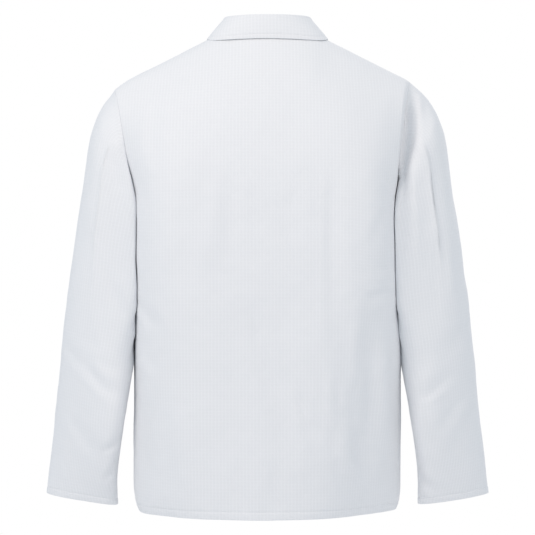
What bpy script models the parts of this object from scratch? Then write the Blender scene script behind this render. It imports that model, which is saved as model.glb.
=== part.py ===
"""Lab jacket: hip-length, buttoned up, and filled out with no wearer in it.

It has a one-piece back, two lapped fronts, two set-in sleeves, a collar of a stand and a fall, and
five buttons. Each cloth piece is an open surface worked out from rows of sizes, and Solidify makes
it a wall. The front faces -Y and +Z is up. z = 0 is where the shoulder seams reach the collar.
"""

import math

import bmesh
import bpy
import numpy as np

# Cloth: the wall, the gap at a seam, and the strip along a seam that keeps the wall square to it
WALL = 0.0015
SEAM = 0.0003
HALF_SEAM = 0.00025
STRIP = 0.0015

# Body
UNDERARM = -0.250
HEM = -0.6992
SHOULDER_FALL = 0.50
SHOULDER_START = 0.0945
NECK_ROUNDING = 0.075
TIP_START = 0.200
TIP_FALL = 6.0
SPREAD_ROW = 0.9
LAP = 0.020
LAP_COVER = 0.045
LAP_EASE = 0.020
LAP_GAP = 0.0005

# Armhole: its widest level and how far it reaches to the back and to the front there
ARMHOLE_WIDEST = -0.175
ARMHOLE_REACH = {"back": 0.066, "front": 0.064}
ARMHOLE_ROUND = 2.2
MOST_OPEN = 0.96
ROLL_START = 0.93
LOWER_ARMHOLE = -0.205

# Neckline: its half width, and how far down the centre it dips, in rows of the TORSO table
NECK_HALF_WIDTH = 0.076
NECK_DIP = {"back": 0.19, "front": 0.455}

# Collar
FOLD_HALF_WIDTH = 0.0655
FOLD_BACK = 0.0475
FOLD_FRONT = 0.0735
FOLD_LEVEL = 0.0325
FOLD_DROP = 0.079
FOLD_DROP_TURN = 62
FOLD_DROP_POWER = 1.25
ROLL_RADIUS = 0.0020
FALL_HALF_WIDTH = 0.0895
FALL_BACK_DIP = 0.215
POINT_HALF_WIDTH = 0.040
POINT_SWEEP = 1.7
POINT_DIP = 0.60
POINT_DIP_POWER = 1.1
FALL_LIFT = {"back": 0.0060, "side": 0.0032, "point": 0.0066}
FALL_LIFT_TURNS = 5
FALL_SHARES = (0.33, 0.67, 1.0)
FALL_BOW = 0.001
COLLAR_END = 0.0025

# Buttons
BUTTON_RADIUS = 0.0085
BUTTON_THICKNESS = 0.0030
BUTTON_RIM = 0.0018
BUTTON_SINK = 0.0008
BUTTON_EDGE = 0.0007
BUTTON_COUNT = 5
FIRST_BUTTON = -0.092
BUTTON_STEP = 0.124

# How finely each piece is divided
NECK_COLUMNS = 6
SHOULDER_COLUMNS = 7
ARMHOLE_ROWS = 11
ARMHOLE_STEPS = 240
SKIRT_ROWS = 8
BUTTON_STEPS = 24

CLOTH_COLOUR = (0.83, 0.85, 0.88, 1.0)
BUTTON_COLOUR = (0.86, 0.87, 0.88, 1.0)


class Table:
    """A short table of sizes. Its first column is the key, and it is read smoothly between rows."""

    def __init__(self, columns, *rows):
        self.columns = columns.split()
        self.rows = np.array(rows, dtype=float)
        self.keys = self.rows[:, 0]

    def column(self, name):
        return self.rows[:, self.columns.index(name)]

    def read(self, key, name):
        """Read a column at a key by a cubic that never overshoots its rows."""
        values = self.column(name)
        steps = np.diff(self.keys)
        slopes = np.diff(values) / steps
        tangents = [slopes[0]]
        for before, after in zip(slopes[:-1], slopes[1:]):
            turns = before * after <= 0
            tangents.append(0.0 if turns else 2 * before * after / (before + after))
        tangents.append(slopes[-1])
        i = int(np.clip(np.searchsorted(self.keys, key) - 1, 0, len(steps) - 1))
        t = float(np.clip((key - self.keys[i]) / steps[i], 0, 1))
        start = values[i] * (1 + 2 * t) * (1 - t) ** 2 + values[i + 1] * t * t * (3 - 2 * t)
        ends = tangents[i] * t * (1 - t) ** 2 - tangents[i + 1] * t * t * (1 - t)
        return float(start + ends * steps[i])


# Rows run from the shoulder seam (0) by the underarm (1) to the hem (2). "drop" is the share of the
# way down, "back" and "front" are the depths at the centre, and "across" and "deep" are the powers
# that round a row off to its edge.
TORSO = Table(
    "row  drop   back    front   across deep",
    (0.00, 0.0000, 0.0000, 0.0000, 2.0, 1.0),
    (0.01, 0.0006, 0.0062, 0.0062, 2.0, 1.0),
    (0.03, 0.0075, 0.0180, 0.0180, 2.0, 1.0),
    (0.10, 0.040, 0.0350, 0.0330, 2.1, 1.0),
    (0.20, 0.105, 0.0510, 0.0460, 2.2, 1.0),
    (0.32, 0.210, 0.0730, 0.0620, 2.3, 1.1),
    (0.47, 0.360, 0.0970, 0.0800, 2.4, 1.2),
    (0.63, 0.550, 0.1150, 0.1030, 2.4, 1.4),
    (0.80, 0.760, 0.1275, 0.1200, 2.4, 1.7),
    (0.92, 0.910, 0.1320, 0.1265, 2.4, 2.1),
    (1.00, 1.000, 0.1335, 0.1280, 2.4, 2.3),
    (1.20, 1.150, 0.1355, 0.1300, 2.3, 2.2),
    (1.50, 1.450, 0.1365, 0.1310, 2.2, 2.1),
    (2.00, 2.000, 0.1420, 0.1325, 2.1, 2.1),
)

# The edge of a panel: the armhole down to the underarm, and the side seam below it. The right
# armhole lies further in, and the back rolls over it by "roll".
EDGE = Table(
    "row  left    right   roll",
    (0.00, 0.2280, 0.2125, 0.000),
    (0.03, 0.2279, 0.2124, 0.001),
    (0.10, 0.2268, 0.2112, 0.004),
    (0.20, 0.2235, 0.2085, 0.008),
    (0.32, 0.2195, 0.2050, 0.011),
    (0.47, 0.2145, 0.2010, 0.013),
    (0.63, 0.2085, 0.1970, 0.014),
    (0.80, 0.2025, 0.1930, 0.012),
    (0.92, 0.2000, 0.1915, 0.006),
    (1.00, 0.1995, 0.1915, 0.000),
    (1.20, 0.1997, 0.1935, 0.000),
    (1.50, 0.1998, 0.1980, 0.000),
    (1.75, 0.2000, 0.1995, 0.000),
    (1.96, 0.2000, 0.1995, 0.000),
    (2.00, 0.1985, 0.1980, 0.000),
)

# Large soft folds of the body: where each starts at its "top" level, how far it leans from there to
# its "bottom" level, its half width, and how deep it is (a ridge is negative). FOLD_GROWTH is how
# fast one deepens from its top, and FOLD_FADE the power that ends them at a panel's edge.
BACK_FOLDS = Table(
    "across  top    bottom lean    width  deep",
    (-0.150, -0.44, -0.699, 0.000, 0.026, 0.0075),
    (-0.095, -0.36, -0.699, -0.030, 0.024, 0.0060),
    (-0.030, -0.30, -0.620, 0.010, 0.026, 0.0035),
    (0.045, -0.34, -0.699, 0.015, 0.034, 0.0030),
    (0.165, -0.45, -0.699, -0.012, 0.020, 0.0050),
)
FRONT_FOLDS = Table(
    "across  top    bottom lean    width  deep",
    (-0.140, -0.38, -0.699, 0.015, 0.026, 0.0065),
    (-0.080, -0.16, -0.600, -0.010, 0.026, 0.0040),
    (0.075, -0.20, -0.699, 0.012, 0.026, 0.0045),
    (0.135, -0.36, -0.699, -0.015, 0.026, 0.0070),
)
FOLD_GROWTH = 1.6
FOLD_FADE = 8

# The sleeve's rings below the armhole: how far each would press into the body's side if it were
# free (less than 0 is clear of it), the level of its inner side, where its outer side lies, how far
# back its middle lies (less than 0 is forward), and its half depth from front to back.
SLEEVE = Table(
    "ring  press    in_z     out_x   out_z    middle   reach",
    (1.0, -0.0012, -0.2530, 0.2345, -0.0800, -0.0005, 0.0680),
    (2.0, -0.0010, -0.2585, 0.2440, -0.0915, -0.0020, 0.0710),
    (3.0, -0.0005, -0.2660, 0.2530, -0.1060, -0.0050, 0.0740),
    (4.0, 0.0000, -0.2750, 0.2605, -0.1240, -0.0090, 0.0770),
    (5.0, 0.0010, -0.2860, 0.2668, -0.1470, -0.0120, 0.0800),
    (6.0, 0.0020, -0.3010, 0.2717, -0.1780, -0.0150, 0.0825),
    (7.0, 0.0030, -0.3220, 0.2778, -0.2200, -0.0170, 0.0830),
    (8.0, 0.0035, -0.3520, 0.2868, -0.2750, -0.0190, 0.0815),
    (9.0, 0.0030, -0.3920, 0.2967, -0.3450, -0.0200, 0.0790),
    (10.0, 0.0010, -0.4340, 0.3057, -0.4120, -0.0210, 0.0755),
    (11.0, -0.0030, -0.4760, 0.3122, -0.4660, -0.0225, 0.0720),
    (12.0, -0.0078, -0.5180, 0.3168, -0.5120, -0.0240, 0.0680),
    (13.0, -0.0130, -0.5620, 0.3213, -0.5560, -0.0255, 0.0630),
    (14.0, -0.0185, -0.6060, 0.3263, -0.5980, -0.0270, 0.0570),
    (15.0, -0.0240, -0.6500, 0.3310, -0.6400, -0.0285, 0.0490),
    (16.0, -0.0285, -0.6915, 0.3345, -0.6785, -0.0300, 0.0400),
)
SLEEVE_ROUND = 2.15
SLEEVE_CLEARANCE = 0.0010
SLEEVE_SPAN = 0.008
CAP_RINGS = 5.0


def smooth(t):
    """Ease from 0 to 1."""
    t = min(max(t, 0.0), 1.0)
    return t * t * (3 - 2 * t)


def unit(vector):
    return vector / np.linalg.norm(vector)


def ridge_level(x):
    """The shoulder line: straight from the collar to the tip, where it starts to round over."""
    x = abs(x)
    run = x if x > NECK_ROUNDING else NECK_ROUNDING / 2 + x * x / (2 * NECK_ROUNDING)
    return SHOULDER_FALL * (SHOULDER_START - run) - TIP_FALL * max(0.0, x - TIP_START) ** 2


def level(x, row):
    """The height of the torso's surface at x on a row."""
    drop = TORSO.read(row, "drop")
    upper = min(drop, 1.0)
    lower = max(drop - 1.0, 0.0)
    return ridge_level(x) * (1 - upper) + UNDERARM * upper + (HEM - UNDERARM) * lower


def row_at(x, z):
    """The row on which the torso's surface has the height z at x."""
    low, high = 0.0, 2.0
    for _ in range(24):
        middle = (low + high) / 2
        if level(x, middle) > z:
            low = middle
        else:
            high = middle
    return (low + high) / 2


def half_width(side, row):
    return EDGE.read(row, "left" if side > 0 else "right")


def armhole_reach(side, face, row):
    """How far behind or before the shoulder line the armhole's edge lies on a row."""
    if row >= 1:
        return 0.0
    edge_x = half_width(side, row)
    top = ridge_level(half_width(side, 0))
    z = level(edge_x, row)
    above = z > ARMHOLE_WIDEST
    span = top - ARMHOLE_WIDEST if above else ARMHOLE_WIDEST - UNDERARM
    share = min(abs(z - ARMHOLE_WIDEST) / span, 1.0)
    power = 1 / ARMHOLE_ROUND if above else 1.0
    return ARMHOLE_REACH[face] * (1 - share ** ARMHOLE_ROUND) ** power


def fold_depth(folds, x, z):
    """How deep the large folds press the surface in at a point."""
    depth = 0.0
    for across, top, bottom, lean, width, deep in folds.rows:
        along = (top - z) / (top - bottom)
        middle = across + lean * min(max(along, 0.0), 1.0)
        depth += deep * smooth(along * FOLD_GROWTH) * math.exp(-((x - middle) / width) ** 2)
    return depth


def torso_point(side, face, share, row):
    """A point of the torso: side +1 is the wearer's left, share runs 0 at the centre to 1."""
    x = side * half_width(side, row) * share
    z = level(x, row)
    middle = TORSO.read(row, face)
    across = TORSO.read(row, "across")
    deep = TORSO.read(row, "deep")
    open_share = min(armhole_reach(side, face, row) / max(middle, 1e-6), MOST_OPEN)
    rounding = (1 - open_share ** deep) * abs(share) ** across
    y = middle * max(1 - rounding, 0.0) ** (1 / deep)
    if side < 0 and face == "back":
        y -= EDGE.read(row, "roll") * smooth((share - ROLL_START) / (1 - ROLL_START))
    folds = BACK_FOLDS if face == "back" else FRONT_FOLDS
    y -= fold_depth(folds, x, z) * (1 - abs(share) ** FOLD_FADE)
    y += HALF_SEAM
    return np.array((x, y if face == "back" else -y, z))


def outward(side, face, share, row):
    """The way out of the torso's surface at a point."""
    step = 0.004
    here = torso_point(side, face, share, row)
    across = here - torso_point(side, face, share - step, row)
    down = torso_point(side, face, share, row + step) - here
    normal = unit(np.cross(across, down))
    outside = np.array((side * share, 1.0 if face == "back" else -1.0, 1.0))
    return normal if normal.dot(outside) > 0 else -normal


def neck_columns(face):
    """Columns of half a panel: where each starts on the top edge, and its share at the underarm."""
    columns = []
    count = NECK_COLUMNS + SHOULDER_COLUMNS
    for i in range(NECK_COLUMNS + 1):
        angle = math.radians(90 * i / NECK_COLUMNS)
        start_row = NECK_DIP[face] * math.cos(angle)
        columns.append((NECK_HALF_WIDTH * math.sin(angle), start_row, i / count))
    for i in range(1, SHOULDER_COLUMNS + 1):
        columns.append((NECK_HALF_WIDTH, 0.0, (NECK_COLUMNS + i) / count))
    return columns


def body_rows():
    """Rows spaced evenly along the armhole, then evenly to the hem, with a strip at the shoulder."""
    fine = np.linspace(0, 1, ARMHOLE_STEPS + 1)
    edge = [(armhole_reach(1, "back", row), level(half_width(1, row), row)) for row in fine]
    lengths = np.concatenate(([0], np.cumsum(np.linalg.norm(np.diff(edge, axis=0), axis=1))))
    marks = np.linspace(0, lengths[-1], ARMHOLE_ROWS + 1)
    marks = np.insert(marks, 1, STRIP)
    upper = np.interp(marks, lengths, fine)
    lower = [1 + (i + 1) / SKIRT_ROWS for i in range(SKIRT_ROWS)]
    return [float(row) for row in upper] + lower


def column_place(side, column, row):
    """The share and the torso's row of a panel's column, which runs from its top edge to the hem."""
    start_x, start_row, place = column
    tip = half_width(side, 0)
    count = NECK_COLUMNS + SHOULDER_COLUMNS
    along_shoulder = max(place * count - NECK_COLUMNS, 0) / SHOULDER_COLUMNS
    top_share = (start_x + (tip - start_x) * along_shoulder) / tip
    low_share = math.sin(math.pi / 2 * abs(place)) * math.copysign(1, place)
    share = top_share + (low_share - top_share) * smooth(row / SPREAD_ROW)
    true_row = start_row + (1 - start_row) * row if row < 1 else row
    return (1.0 if place > 1 - 1e-6 else share), true_row


def column_point(side, face, column, row):
    return torso_point(side, face, *column_place(side, column, row))


def half_panel(side, face):
    """The grid of half a panel, a list of columns from the centre to its edge."""
    rows = body_rows()
    columns = [[column_point(side, face, c, row) for row in rows] for c in neck_columns(face)]
    edge = columns[-1]
    strip = []
    for inner, outer in zip(columns[-2], edge):
        strip.append(outer + unit(inner - outer) * STRIP)
    columns.insert(-1, strip)
    return columns


def lap_columns(side):
    """The columns by which a front passes the centre, from its free edge to the centre."""
    columns = []
    for offset in (LAP, LAP / 2):
        column = []
        for row in body_rows():
            start_row = NECK_DIP["front"] * math.sqrt(1 - (offset / NECK_HALF_WIDTH) ** 2)
            true_row = start_row + (1 - start_row) * row if row < 1 else row
            share = offset / half_width(-side, true_row)
            column.append(torso_point(-side, "front", share, true_row))
        columns.append(column)
    return columns


def surface(name, columns, flip, collection, material, closed=False):
    """Make a piece of cloth from a grid of points, with its outer side out."""
    mesh = bpy.data.meshes.new(name)
    grid = bmesh.new()
    made = [[grid.verts.new(point) for point in column] for column in columns]
    pairs = list(zip(made[:-1], made[1:]))
    if closed:
        pairs.append((made[-1], made[0]))
    for left, right in pairs:
        for i in range(len(left) - 1):
            corners = (left[i], left[i + 1], right[i + 1], right[i])
            grid.faces.new(reversed(corners) if flip else corners)
    grid.to_mesh(mesh)
    grid.free()
    mesh.shade_smooth()
    piece = bpy.data.objects.new(name, mesh)
    collection.objects.link(piece)
    piece.data.materials.append(material)
    solidify = piece.modifiers.new("wall", "SOLIDIFY")
    solidify.thickness = WALL
    solidify.offset = -1
    solidify.use_even_offset = True
    return piece


def make_back(collection, material):
    left = half_panel(1, "back")
    right = half_panel(-1, "back")
    columns = list(reversed(left)) + right[1:]
    return surface("back", columns, False, collection, material)


def make_front(side, collection, material):
    """A front. The right one steps in by a wall and a seam where the left one laps it."""
    columns = lap_columns(side) + half_panel(side, "front")
    if side < 0:
        for column in columns:
            for i, point in enumerate(column):
                covered = smooth((LAP_COVER + point[0]) / LAP_EASE)
                if covered > 0:
                    share = -point[0] / half_width(side, 0)
                    way = outward(side, "front", share, row_at(point[0], point[2]))
                    column[i] = point - way * (WALL + LAP_GAP) * covered
    name = "front_left" if side > 0 else "front_right"
    return surface(name, columns, side < 0, collection, material)


def side_at(side, y, z):
    """How far out the body reaches at a depth and a height, from the lower armhole down."""
    row = row_at(half_width(side, 1), z)
    face = "back" if y > 0 else "front"
    middle = TORSO.read(row, face)
    deep = TORSO.read(row, "deep")
    open_share = armhole_reach(side, face, row) / middle
    inner = (1 - min(abs(y) / middle, 1) ** deep) / (1 - open_share ** deep)
    return half_width(side, row) * min(inner, 1) ** (1 / TORSO.read(row, "across"))


def side_limit(side, y, z):
    """How near the middle a sleeve may come there, clear of the body between its own points too."""
    nearby = (side_at(side, y + offset, z) for offset in (-SLEEVE_SPAN, 0, SLEEVE_SPAN))
    return max(nearby) + SLEEVE_CLEARANCE


def armhole(side):
    """The armhole's loop from the shoulder tip down the back and up the front.

    Gives each point with the way out of the body's cloth there. Both are written as on the left
    side, with +X outward.
    """
    mirror = np.array((side, 1, 1))
    rows = body_rows()[:ARMHOLE_ROWS + 2]
    del rows[1]
    points = []
    ways = []
    for face, order in (("back", rows), ("front", rows[::-1])):
        edge = neck_columns(face)[-1]
        for row in order:
            share, true_row = column_place(side, edge, row)
            points.append(torso_point(side, face, share, true_row) * mirror)
            ways.append(outward(side, face, share, true_row) * mirror)
    last = len(rows)
    for keep, drop in ((0, -1), (last - 1, last)):
        points[keep] = (points[keep] + points[drop]) / 2
        ways[keep] = unit(ways[keep] + ways[drop])
    for group in (points, ways):
        del group[-1]
        del group[last]
    return points, ways


def hinge(points, ways, targets, closed):
    """Start a piece at the edge of another: a seam's gap away, whatever the angle between them.

    The edge runs so that the other piece's cloth is on its left, seen from outside. Gives the new
    piece's first edge and the end of its first narrow strip.
    """
    starts = []
    strips = []
    last = len(points) - 1
    for i, point in enumerate(points):
        before = points[i - 1] if closed or i > 0 else points[0]
        after = points[(i + 1) % len(points)] if closed or i < last else points[last]
        tangent = unit(after - before)
        out = unit(ways[i] - tangent * ways[i].dot(tangent))
        lead = np.cross(tangent, out)
        way = targets[i] - point
        way = unit(way - tangent * way.dot(tangent))
        turn = math.atan2(way.dot(out), way.dot(lead))
        gap = lead * math.cos(turn / 2) + out * math.sin(turn / 2)
        start = point + gap * SEAM + lead * WALL * max(0.0, -math.sin(turn))
        starts.append(start)
        strips.append(start + way * STRIP)
    return starts, strips


def ring_point(inner, outer, middle, reach, angle):
    """A point of a sleeve's ring: 0 on the outer side, a quarter turn on at the back."""
    power = 2 / SLEEVE_ROUND
    across = math.copysign(abs(math.cos(angle)) ** power, math.cos(angle))
    deep = math.copysign(abs(math.sin(angle)) ** power, math.sin(angle))
    centre = (inner + outer) / 2
    point = centre + (outer - inner) / 2 * across
    point[1] += middle + reach * deep
    return point


def make_sleeve(side, collection, material):
    points, ways = armhole(side)
    count = len(points)
    angles = [2 * math.pi * i / count for i in range(count)]
    top = points[0]
    bottom = points[count // 2]
    plain = [ring_point(bottom, top, 0.0, ARMHOLE_REACH["back"], angle) for angle in angles]
    rings = []
    for ring, press, in_z, out_x, out_z, middle, reach in SLEEVE.rows:
        in_x = half_width(side, row_at(half_width(side, 1), in_z)) - press
        inner = np.array((in_x, 0.0, in_z))
        outer = np.array((out_x, 0.0, out_z))
        likeness = 1 - smooth(ring / CAP_RINGS)
        made = []
        for angle, edge, base in zip(angles, points, plain):
            point = ring_point(inner, outer, middle, reach, angle) + (edge - base) * likeness
            limit = side_limit(side, point[1], point[2]) + SLEEVE_CLEARANCE
            if point[2] < LOWER_ARMHOLE:
                point[0] = max(point[0], limit)
            made.append(point)
        rings.append(made)
    starts, strips = hinge(points, ways, rings[0], True)
    rings = [starts, strips] + rings
    mirror = np.array((side, 1, 1))
    columns = [[ring[i] * mirror for ring in rings] for i in range(count)]
    name = "sleeve_left" if side > 0 else "sleeve_right"
    return surface(name, columns, side < 0, collection, material, closed=True)


def neck_turns():
    """The columns around the neck from the right front to the left front.

    Each has its side, its face, its number on that half panel and its turn from the back's centre.
    """
    numbers = range(NECK_COLUMNS + 1)
    turns = [90 * i / NECK_COLUMNS for i in numbers]
    right_front = [(-1, "front", i, 180 - turns[i]) for i in numbers]
    right_back = [(-1, "back", i, turns[i]) for i in reversed(numbers[:-1])]
    left_back = [(1, "back", i, turns[i]) for i in numbers[1:]]
    left_front = [(1, "front", i, 180 - turns[i]) for i in reversed(numbers[:-1])]
    return right_front + right_back + left_back + left_front


def fold_point(side, turn):
    """A point of the collar's fold, a turn of 0 at the back's centre and 180 at the front's."""
    angle = math.radians(turn)
    depth = FOLD_BACK if turn <= 90 else FOLD_FRONT
    drop = FOLD_DROP * smooth((turn - FOLD_DROP_TURN) / (180 - FOLD_DROP_TURN)) ** FOLD_DROP_POWER
    return np.array((side * FOLD_HALF_WIDTH * math.sin(angle), depth * math.cos(angle),
                     FOLD_LEVEL - drop))


def pulled_back(end, beside):
    """The end of a collar edge, drawn back along it from the centre line."""
    return end + (beside - end) * COLLAR_END / abs(beside[0] - end[0])


def make_collar_stand(collection, material):
    points = []
    ways = []
    tops = []
    for side, face, number, turn in neck_turns():
        share, row = column_place(side, neck_columns(face)[number], 0.0)
        points.append(torso_point(side, face, share, row))
        ways.append(outward(side, face, share, row))
        tops.append(fold_point(side, turn))
    for end, beside in ((0, 1), (-1, -2)):
        for line in (points, tops):
            line[end] = pulled_back(line[end], line[beside])
    starts, strips = hinge(points, ways, tops, False)
    columns = []
    for start, strip, top in zip(starts, strips, tops):
        columns.append([start, strip, (strip + top) / 2, top])
    return surface("collar_stand", columns, False, collection, material)


def fall_edge(side, turn):
    """A point of the fall's lower edge, taken from the body's panels and moved out."""
    if turn <= 90:
        angle = math.radians(turn)
        across = FALL_HALF_WIDTH * math.sin(angle)
        row = FALL_BACK_DIP * math.cos(angle)
        lift = FALL_LIFT["back"] + (FALL_LIFT["side"] - FALL_LIFT["back"]) * math.sin(angle)
        face = "back"
    else:
        along = (turn - 90) / 90
        across = FALL_HALF_WIDTH + (POINT_HALF_WIDTH - FALL_HALF_WIDTH) * along ** POINT_SWEEP
        row = POINT_DIP * math.sin(math.pi / 2 * along) ** POINT_DIP_POWER
        gain = min(FALL_LIFT_TURNS * along, 1)
        lift = FALL_LIFT["side"] + (FALL_LIFT["point"] - FALL_LIFT["side"]) * gain
        face = "front"
    share = across / half_width(side, row)
    return torso_point(side, face, share, row) + outward(side, face, share, row) * lift


def make_collar_fall(collection, material):
    """The fall: a narrow roll on top of the stand, then a straight fall to the lower edge."""
    turns = neck_turns()
    folds = [fold_point(side, turn) for side, _, _, turn in turns]
    edges = [fall_edge(side, turn) for side, _, _, turn in turns]
    for end, beside in ((0, 1), (-1, -2)):
        folds[end] = pulled_back(folds[end], folds[beside])
    columns = []
    for i, (fold, edge) in enumerate(zip(folds, edges)):
        run = unit(folds[min(i + 1, len(folds) - 1)] - folds[max(i - 1, 0)])
        out = unit(np.cross((0, 0, 1), run))
        up = np.cross(run, out)
        column = [fold - out * WALL + up * SEAM]
        centre = fold + out * (ROLL_RADIUS - WALL) + up * (SEAM + STRIP)
        for degrees in (180, 135, 90, 45, 0):
            angle = math.radians(degrees)
            column.append(centre + (out * math.cos(angle) + up * math.sin(angle)) * ROLL_RADIUS)
        outer = column[-1]
        for share in FALL_SHARES:
            bow = out * FALL_BOW * 4 * share * (1 - share)
            column.append(outer + (edge - outer) * share + bow)
        columns.append(column)
    return surface("collar_fall", columns, False, collection, material)


def make_button(number, collection, material):
    """A plain turned button, laid on the left front at the centre line."""
    z = FIRST_BUTTON - BUTTON_STEP * (number - 1)
    above, middle, below = (
        torso_point(1, "front", 0.0, row_at(0.0, z + offset))
        for offset in (BUTTON_RADIUS, 0.0, -BUTTON_RADIUS)
    )
    run = unit(below - above)
    normal = np.array((0.0, run[2], -run[1]))
    bulge = max((middle - above).dot(normal), 0.0)
    seat = (above + below) / 2 + normal * (bulge + SEAM)

    inner = BUTTON_RADIUS - BUTTON_RIM
    edge = BUTTON_RADIUS - BUTTON_EDGE
    top = BUTTON_THICKNESS
    floor = top - BUTTON_SINK
    profile = [
        (0.0, floor), (inner - BUTTON_SINK, floor), (inner, top), (edge, top),
        (BUTTON_RADIUS, top - BUTTON_EDGE), (BUTTON_RADIUS, BUTTON_EDGE), (edge, 0.0), (0.0, 0.0),
    ]
    name = f"button_{number}"
    mesh = bpy.data.meshes.new(name)
    outline = bmesh.new()
    made = [outline.verts.new((x, 0.0, height)) for x, height in profile]
    for first, second in zip(made[:-1], made[1:]):
        outline.edges.new((first, second))
    outline.to_mesh(mesh)
    outline.free()
    piece = bpy.data.objects.new(name, mesh)
    collection.objects.link(piece)
    piece.data.materials.append(material)
    turn = piece.modifiers.new("turn", "SCREW")
    turn.steps = BUTTON_STEPS
    turn.render_steps = BUTTON_STEPS
    turn.use_merge_vertices = True
    turn.merge_threshold = 0.0001
    piece.location = seat
    piece.rotation_euler = (math.atan2(-normal[1], normal[2]), 0.0, 0.0)
    return piece


def make_material(name, colour, roughness):
    material = bpy.data.materials.new(name)
    material.use_nodes = True
    shader = material.node_tree.nodes["Principled BSDF"]
    shader.inputs["Base Color"].default_value = colour
    shader.inputs["Roughness"].default_value = roughness
    shader.inputs["Metallic"].default_value = 0.0
    return material


def main():
    for old in list(bpy.data.objects):
        bpy.data.objects.remove(old, do_unlink=True)
    jacket = bpy.data.collections.new("lab_jacket")
    bpy.context.scene.collection.children.link(jacket)
    cloth = make_material("white_check_cloth", CLOTH_COLOUR, 0.85)
    plastic = make_material("white_button", BUTTON_COLOUR, 0.35)
    make_back(jacket, cloth)
    for side in (1, -1):
        make_front(side, jacket, cloth)
        make_sleeve(side, jacket, cloth)
    make_collar_stand(jacket, cloth)
    make_collar_fall(jacket, cloth)
    for number in range(1, BUTTON_COUNT + 1):
        make_button(number, jacket, plastic)


main()
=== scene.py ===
"""Lab jacket, dressed: woven cloth, hems, seams, stitching, buttons and the studio around it.

Each cloth piece is a grid of points on the jacket's own form, with creases pressed into it and its
edges turned in at the seams, and it is then given a wall. Lengths are in metres. The front faces -Y.
"""

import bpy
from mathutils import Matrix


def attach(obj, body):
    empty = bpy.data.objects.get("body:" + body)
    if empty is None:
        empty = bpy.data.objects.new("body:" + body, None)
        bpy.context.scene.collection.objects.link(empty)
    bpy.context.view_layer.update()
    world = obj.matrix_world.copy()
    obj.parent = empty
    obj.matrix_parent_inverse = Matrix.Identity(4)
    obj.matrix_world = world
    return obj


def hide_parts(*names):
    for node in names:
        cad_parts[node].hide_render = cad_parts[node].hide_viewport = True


bl_info = {
    "name": "Lab jacket",
    "version": (1, 0, 0),
    "blender": (4, 5, 0),
    "location": "3D View > Sidebar > Jacket",
    "description": "Dresses the lab jacket in woven cloth, with its hems, stitching and buttons",
    "category": "Object",
}

import math

import bmesh
import bpy
import mathutils
import numpy as np
from bpy.props import FloatProperty, FloatVectorProperty, PointerProperty
from bpy.types import Operator, Panel, PropertyGroup

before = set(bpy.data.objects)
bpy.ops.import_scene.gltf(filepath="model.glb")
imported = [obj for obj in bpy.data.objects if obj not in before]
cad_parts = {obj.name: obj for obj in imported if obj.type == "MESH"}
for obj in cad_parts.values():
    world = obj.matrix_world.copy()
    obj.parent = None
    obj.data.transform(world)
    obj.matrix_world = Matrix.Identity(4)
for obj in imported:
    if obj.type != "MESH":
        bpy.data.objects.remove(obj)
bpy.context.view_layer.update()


# --- Tables of sizes ---------------------------------------------------------------------------


def cubic(values, slopes, i, steps, t):
    """A cubic with the given slopes, a share t of the way from value i to the one after it."""
    start = values[i] * (1 + 2 * t) * (1 - t) ** 2 + values[i + 1] * t * t * (3 - 2 * t)
    ends = slopes[i] * t * (1 - t) ** 2 - slopes[i + 1] * t * t * (1 - t)
    return start + ends * steps


class Table:
    """A short table of sizes. Its first column is the key, and it is read smoothly between rows."""

    def __init__(self, columns, *rows):
        self.columns = columns.split()
        self.rows = np.array(rows, dtype=float)
        self.keys = self.rows[:, 0]

    def read(self, keys, name):
        """Read a column at many keys by a cubic that never overshoots its rows."""
        keys = np.asarray(keys, dtype=float)
        values = self.rows[:, self.columns.index(name)]
        steps = np.diff(self.keys)
        slopes = np.diff(values) / steps
        before, after = slopes[:-1], slopes[1:]
        total = np.where(before * after > 0, before + after, 1.0)
        inside = np.where(before * after > 0, 2 * before * after / total, 0.0)
        tangents = np.concatenate(([slopes[0]], inside, [slopes[-1]]))
        i = np.clip(np.searchsorted(self.keys, keys) - 1, 0, len(steps) - 1)
        t = np.clip((keys - self.keys[i]) / steps[i], 0, 1)
        return cubic(values, tangents, i, steps[i], t)


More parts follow.
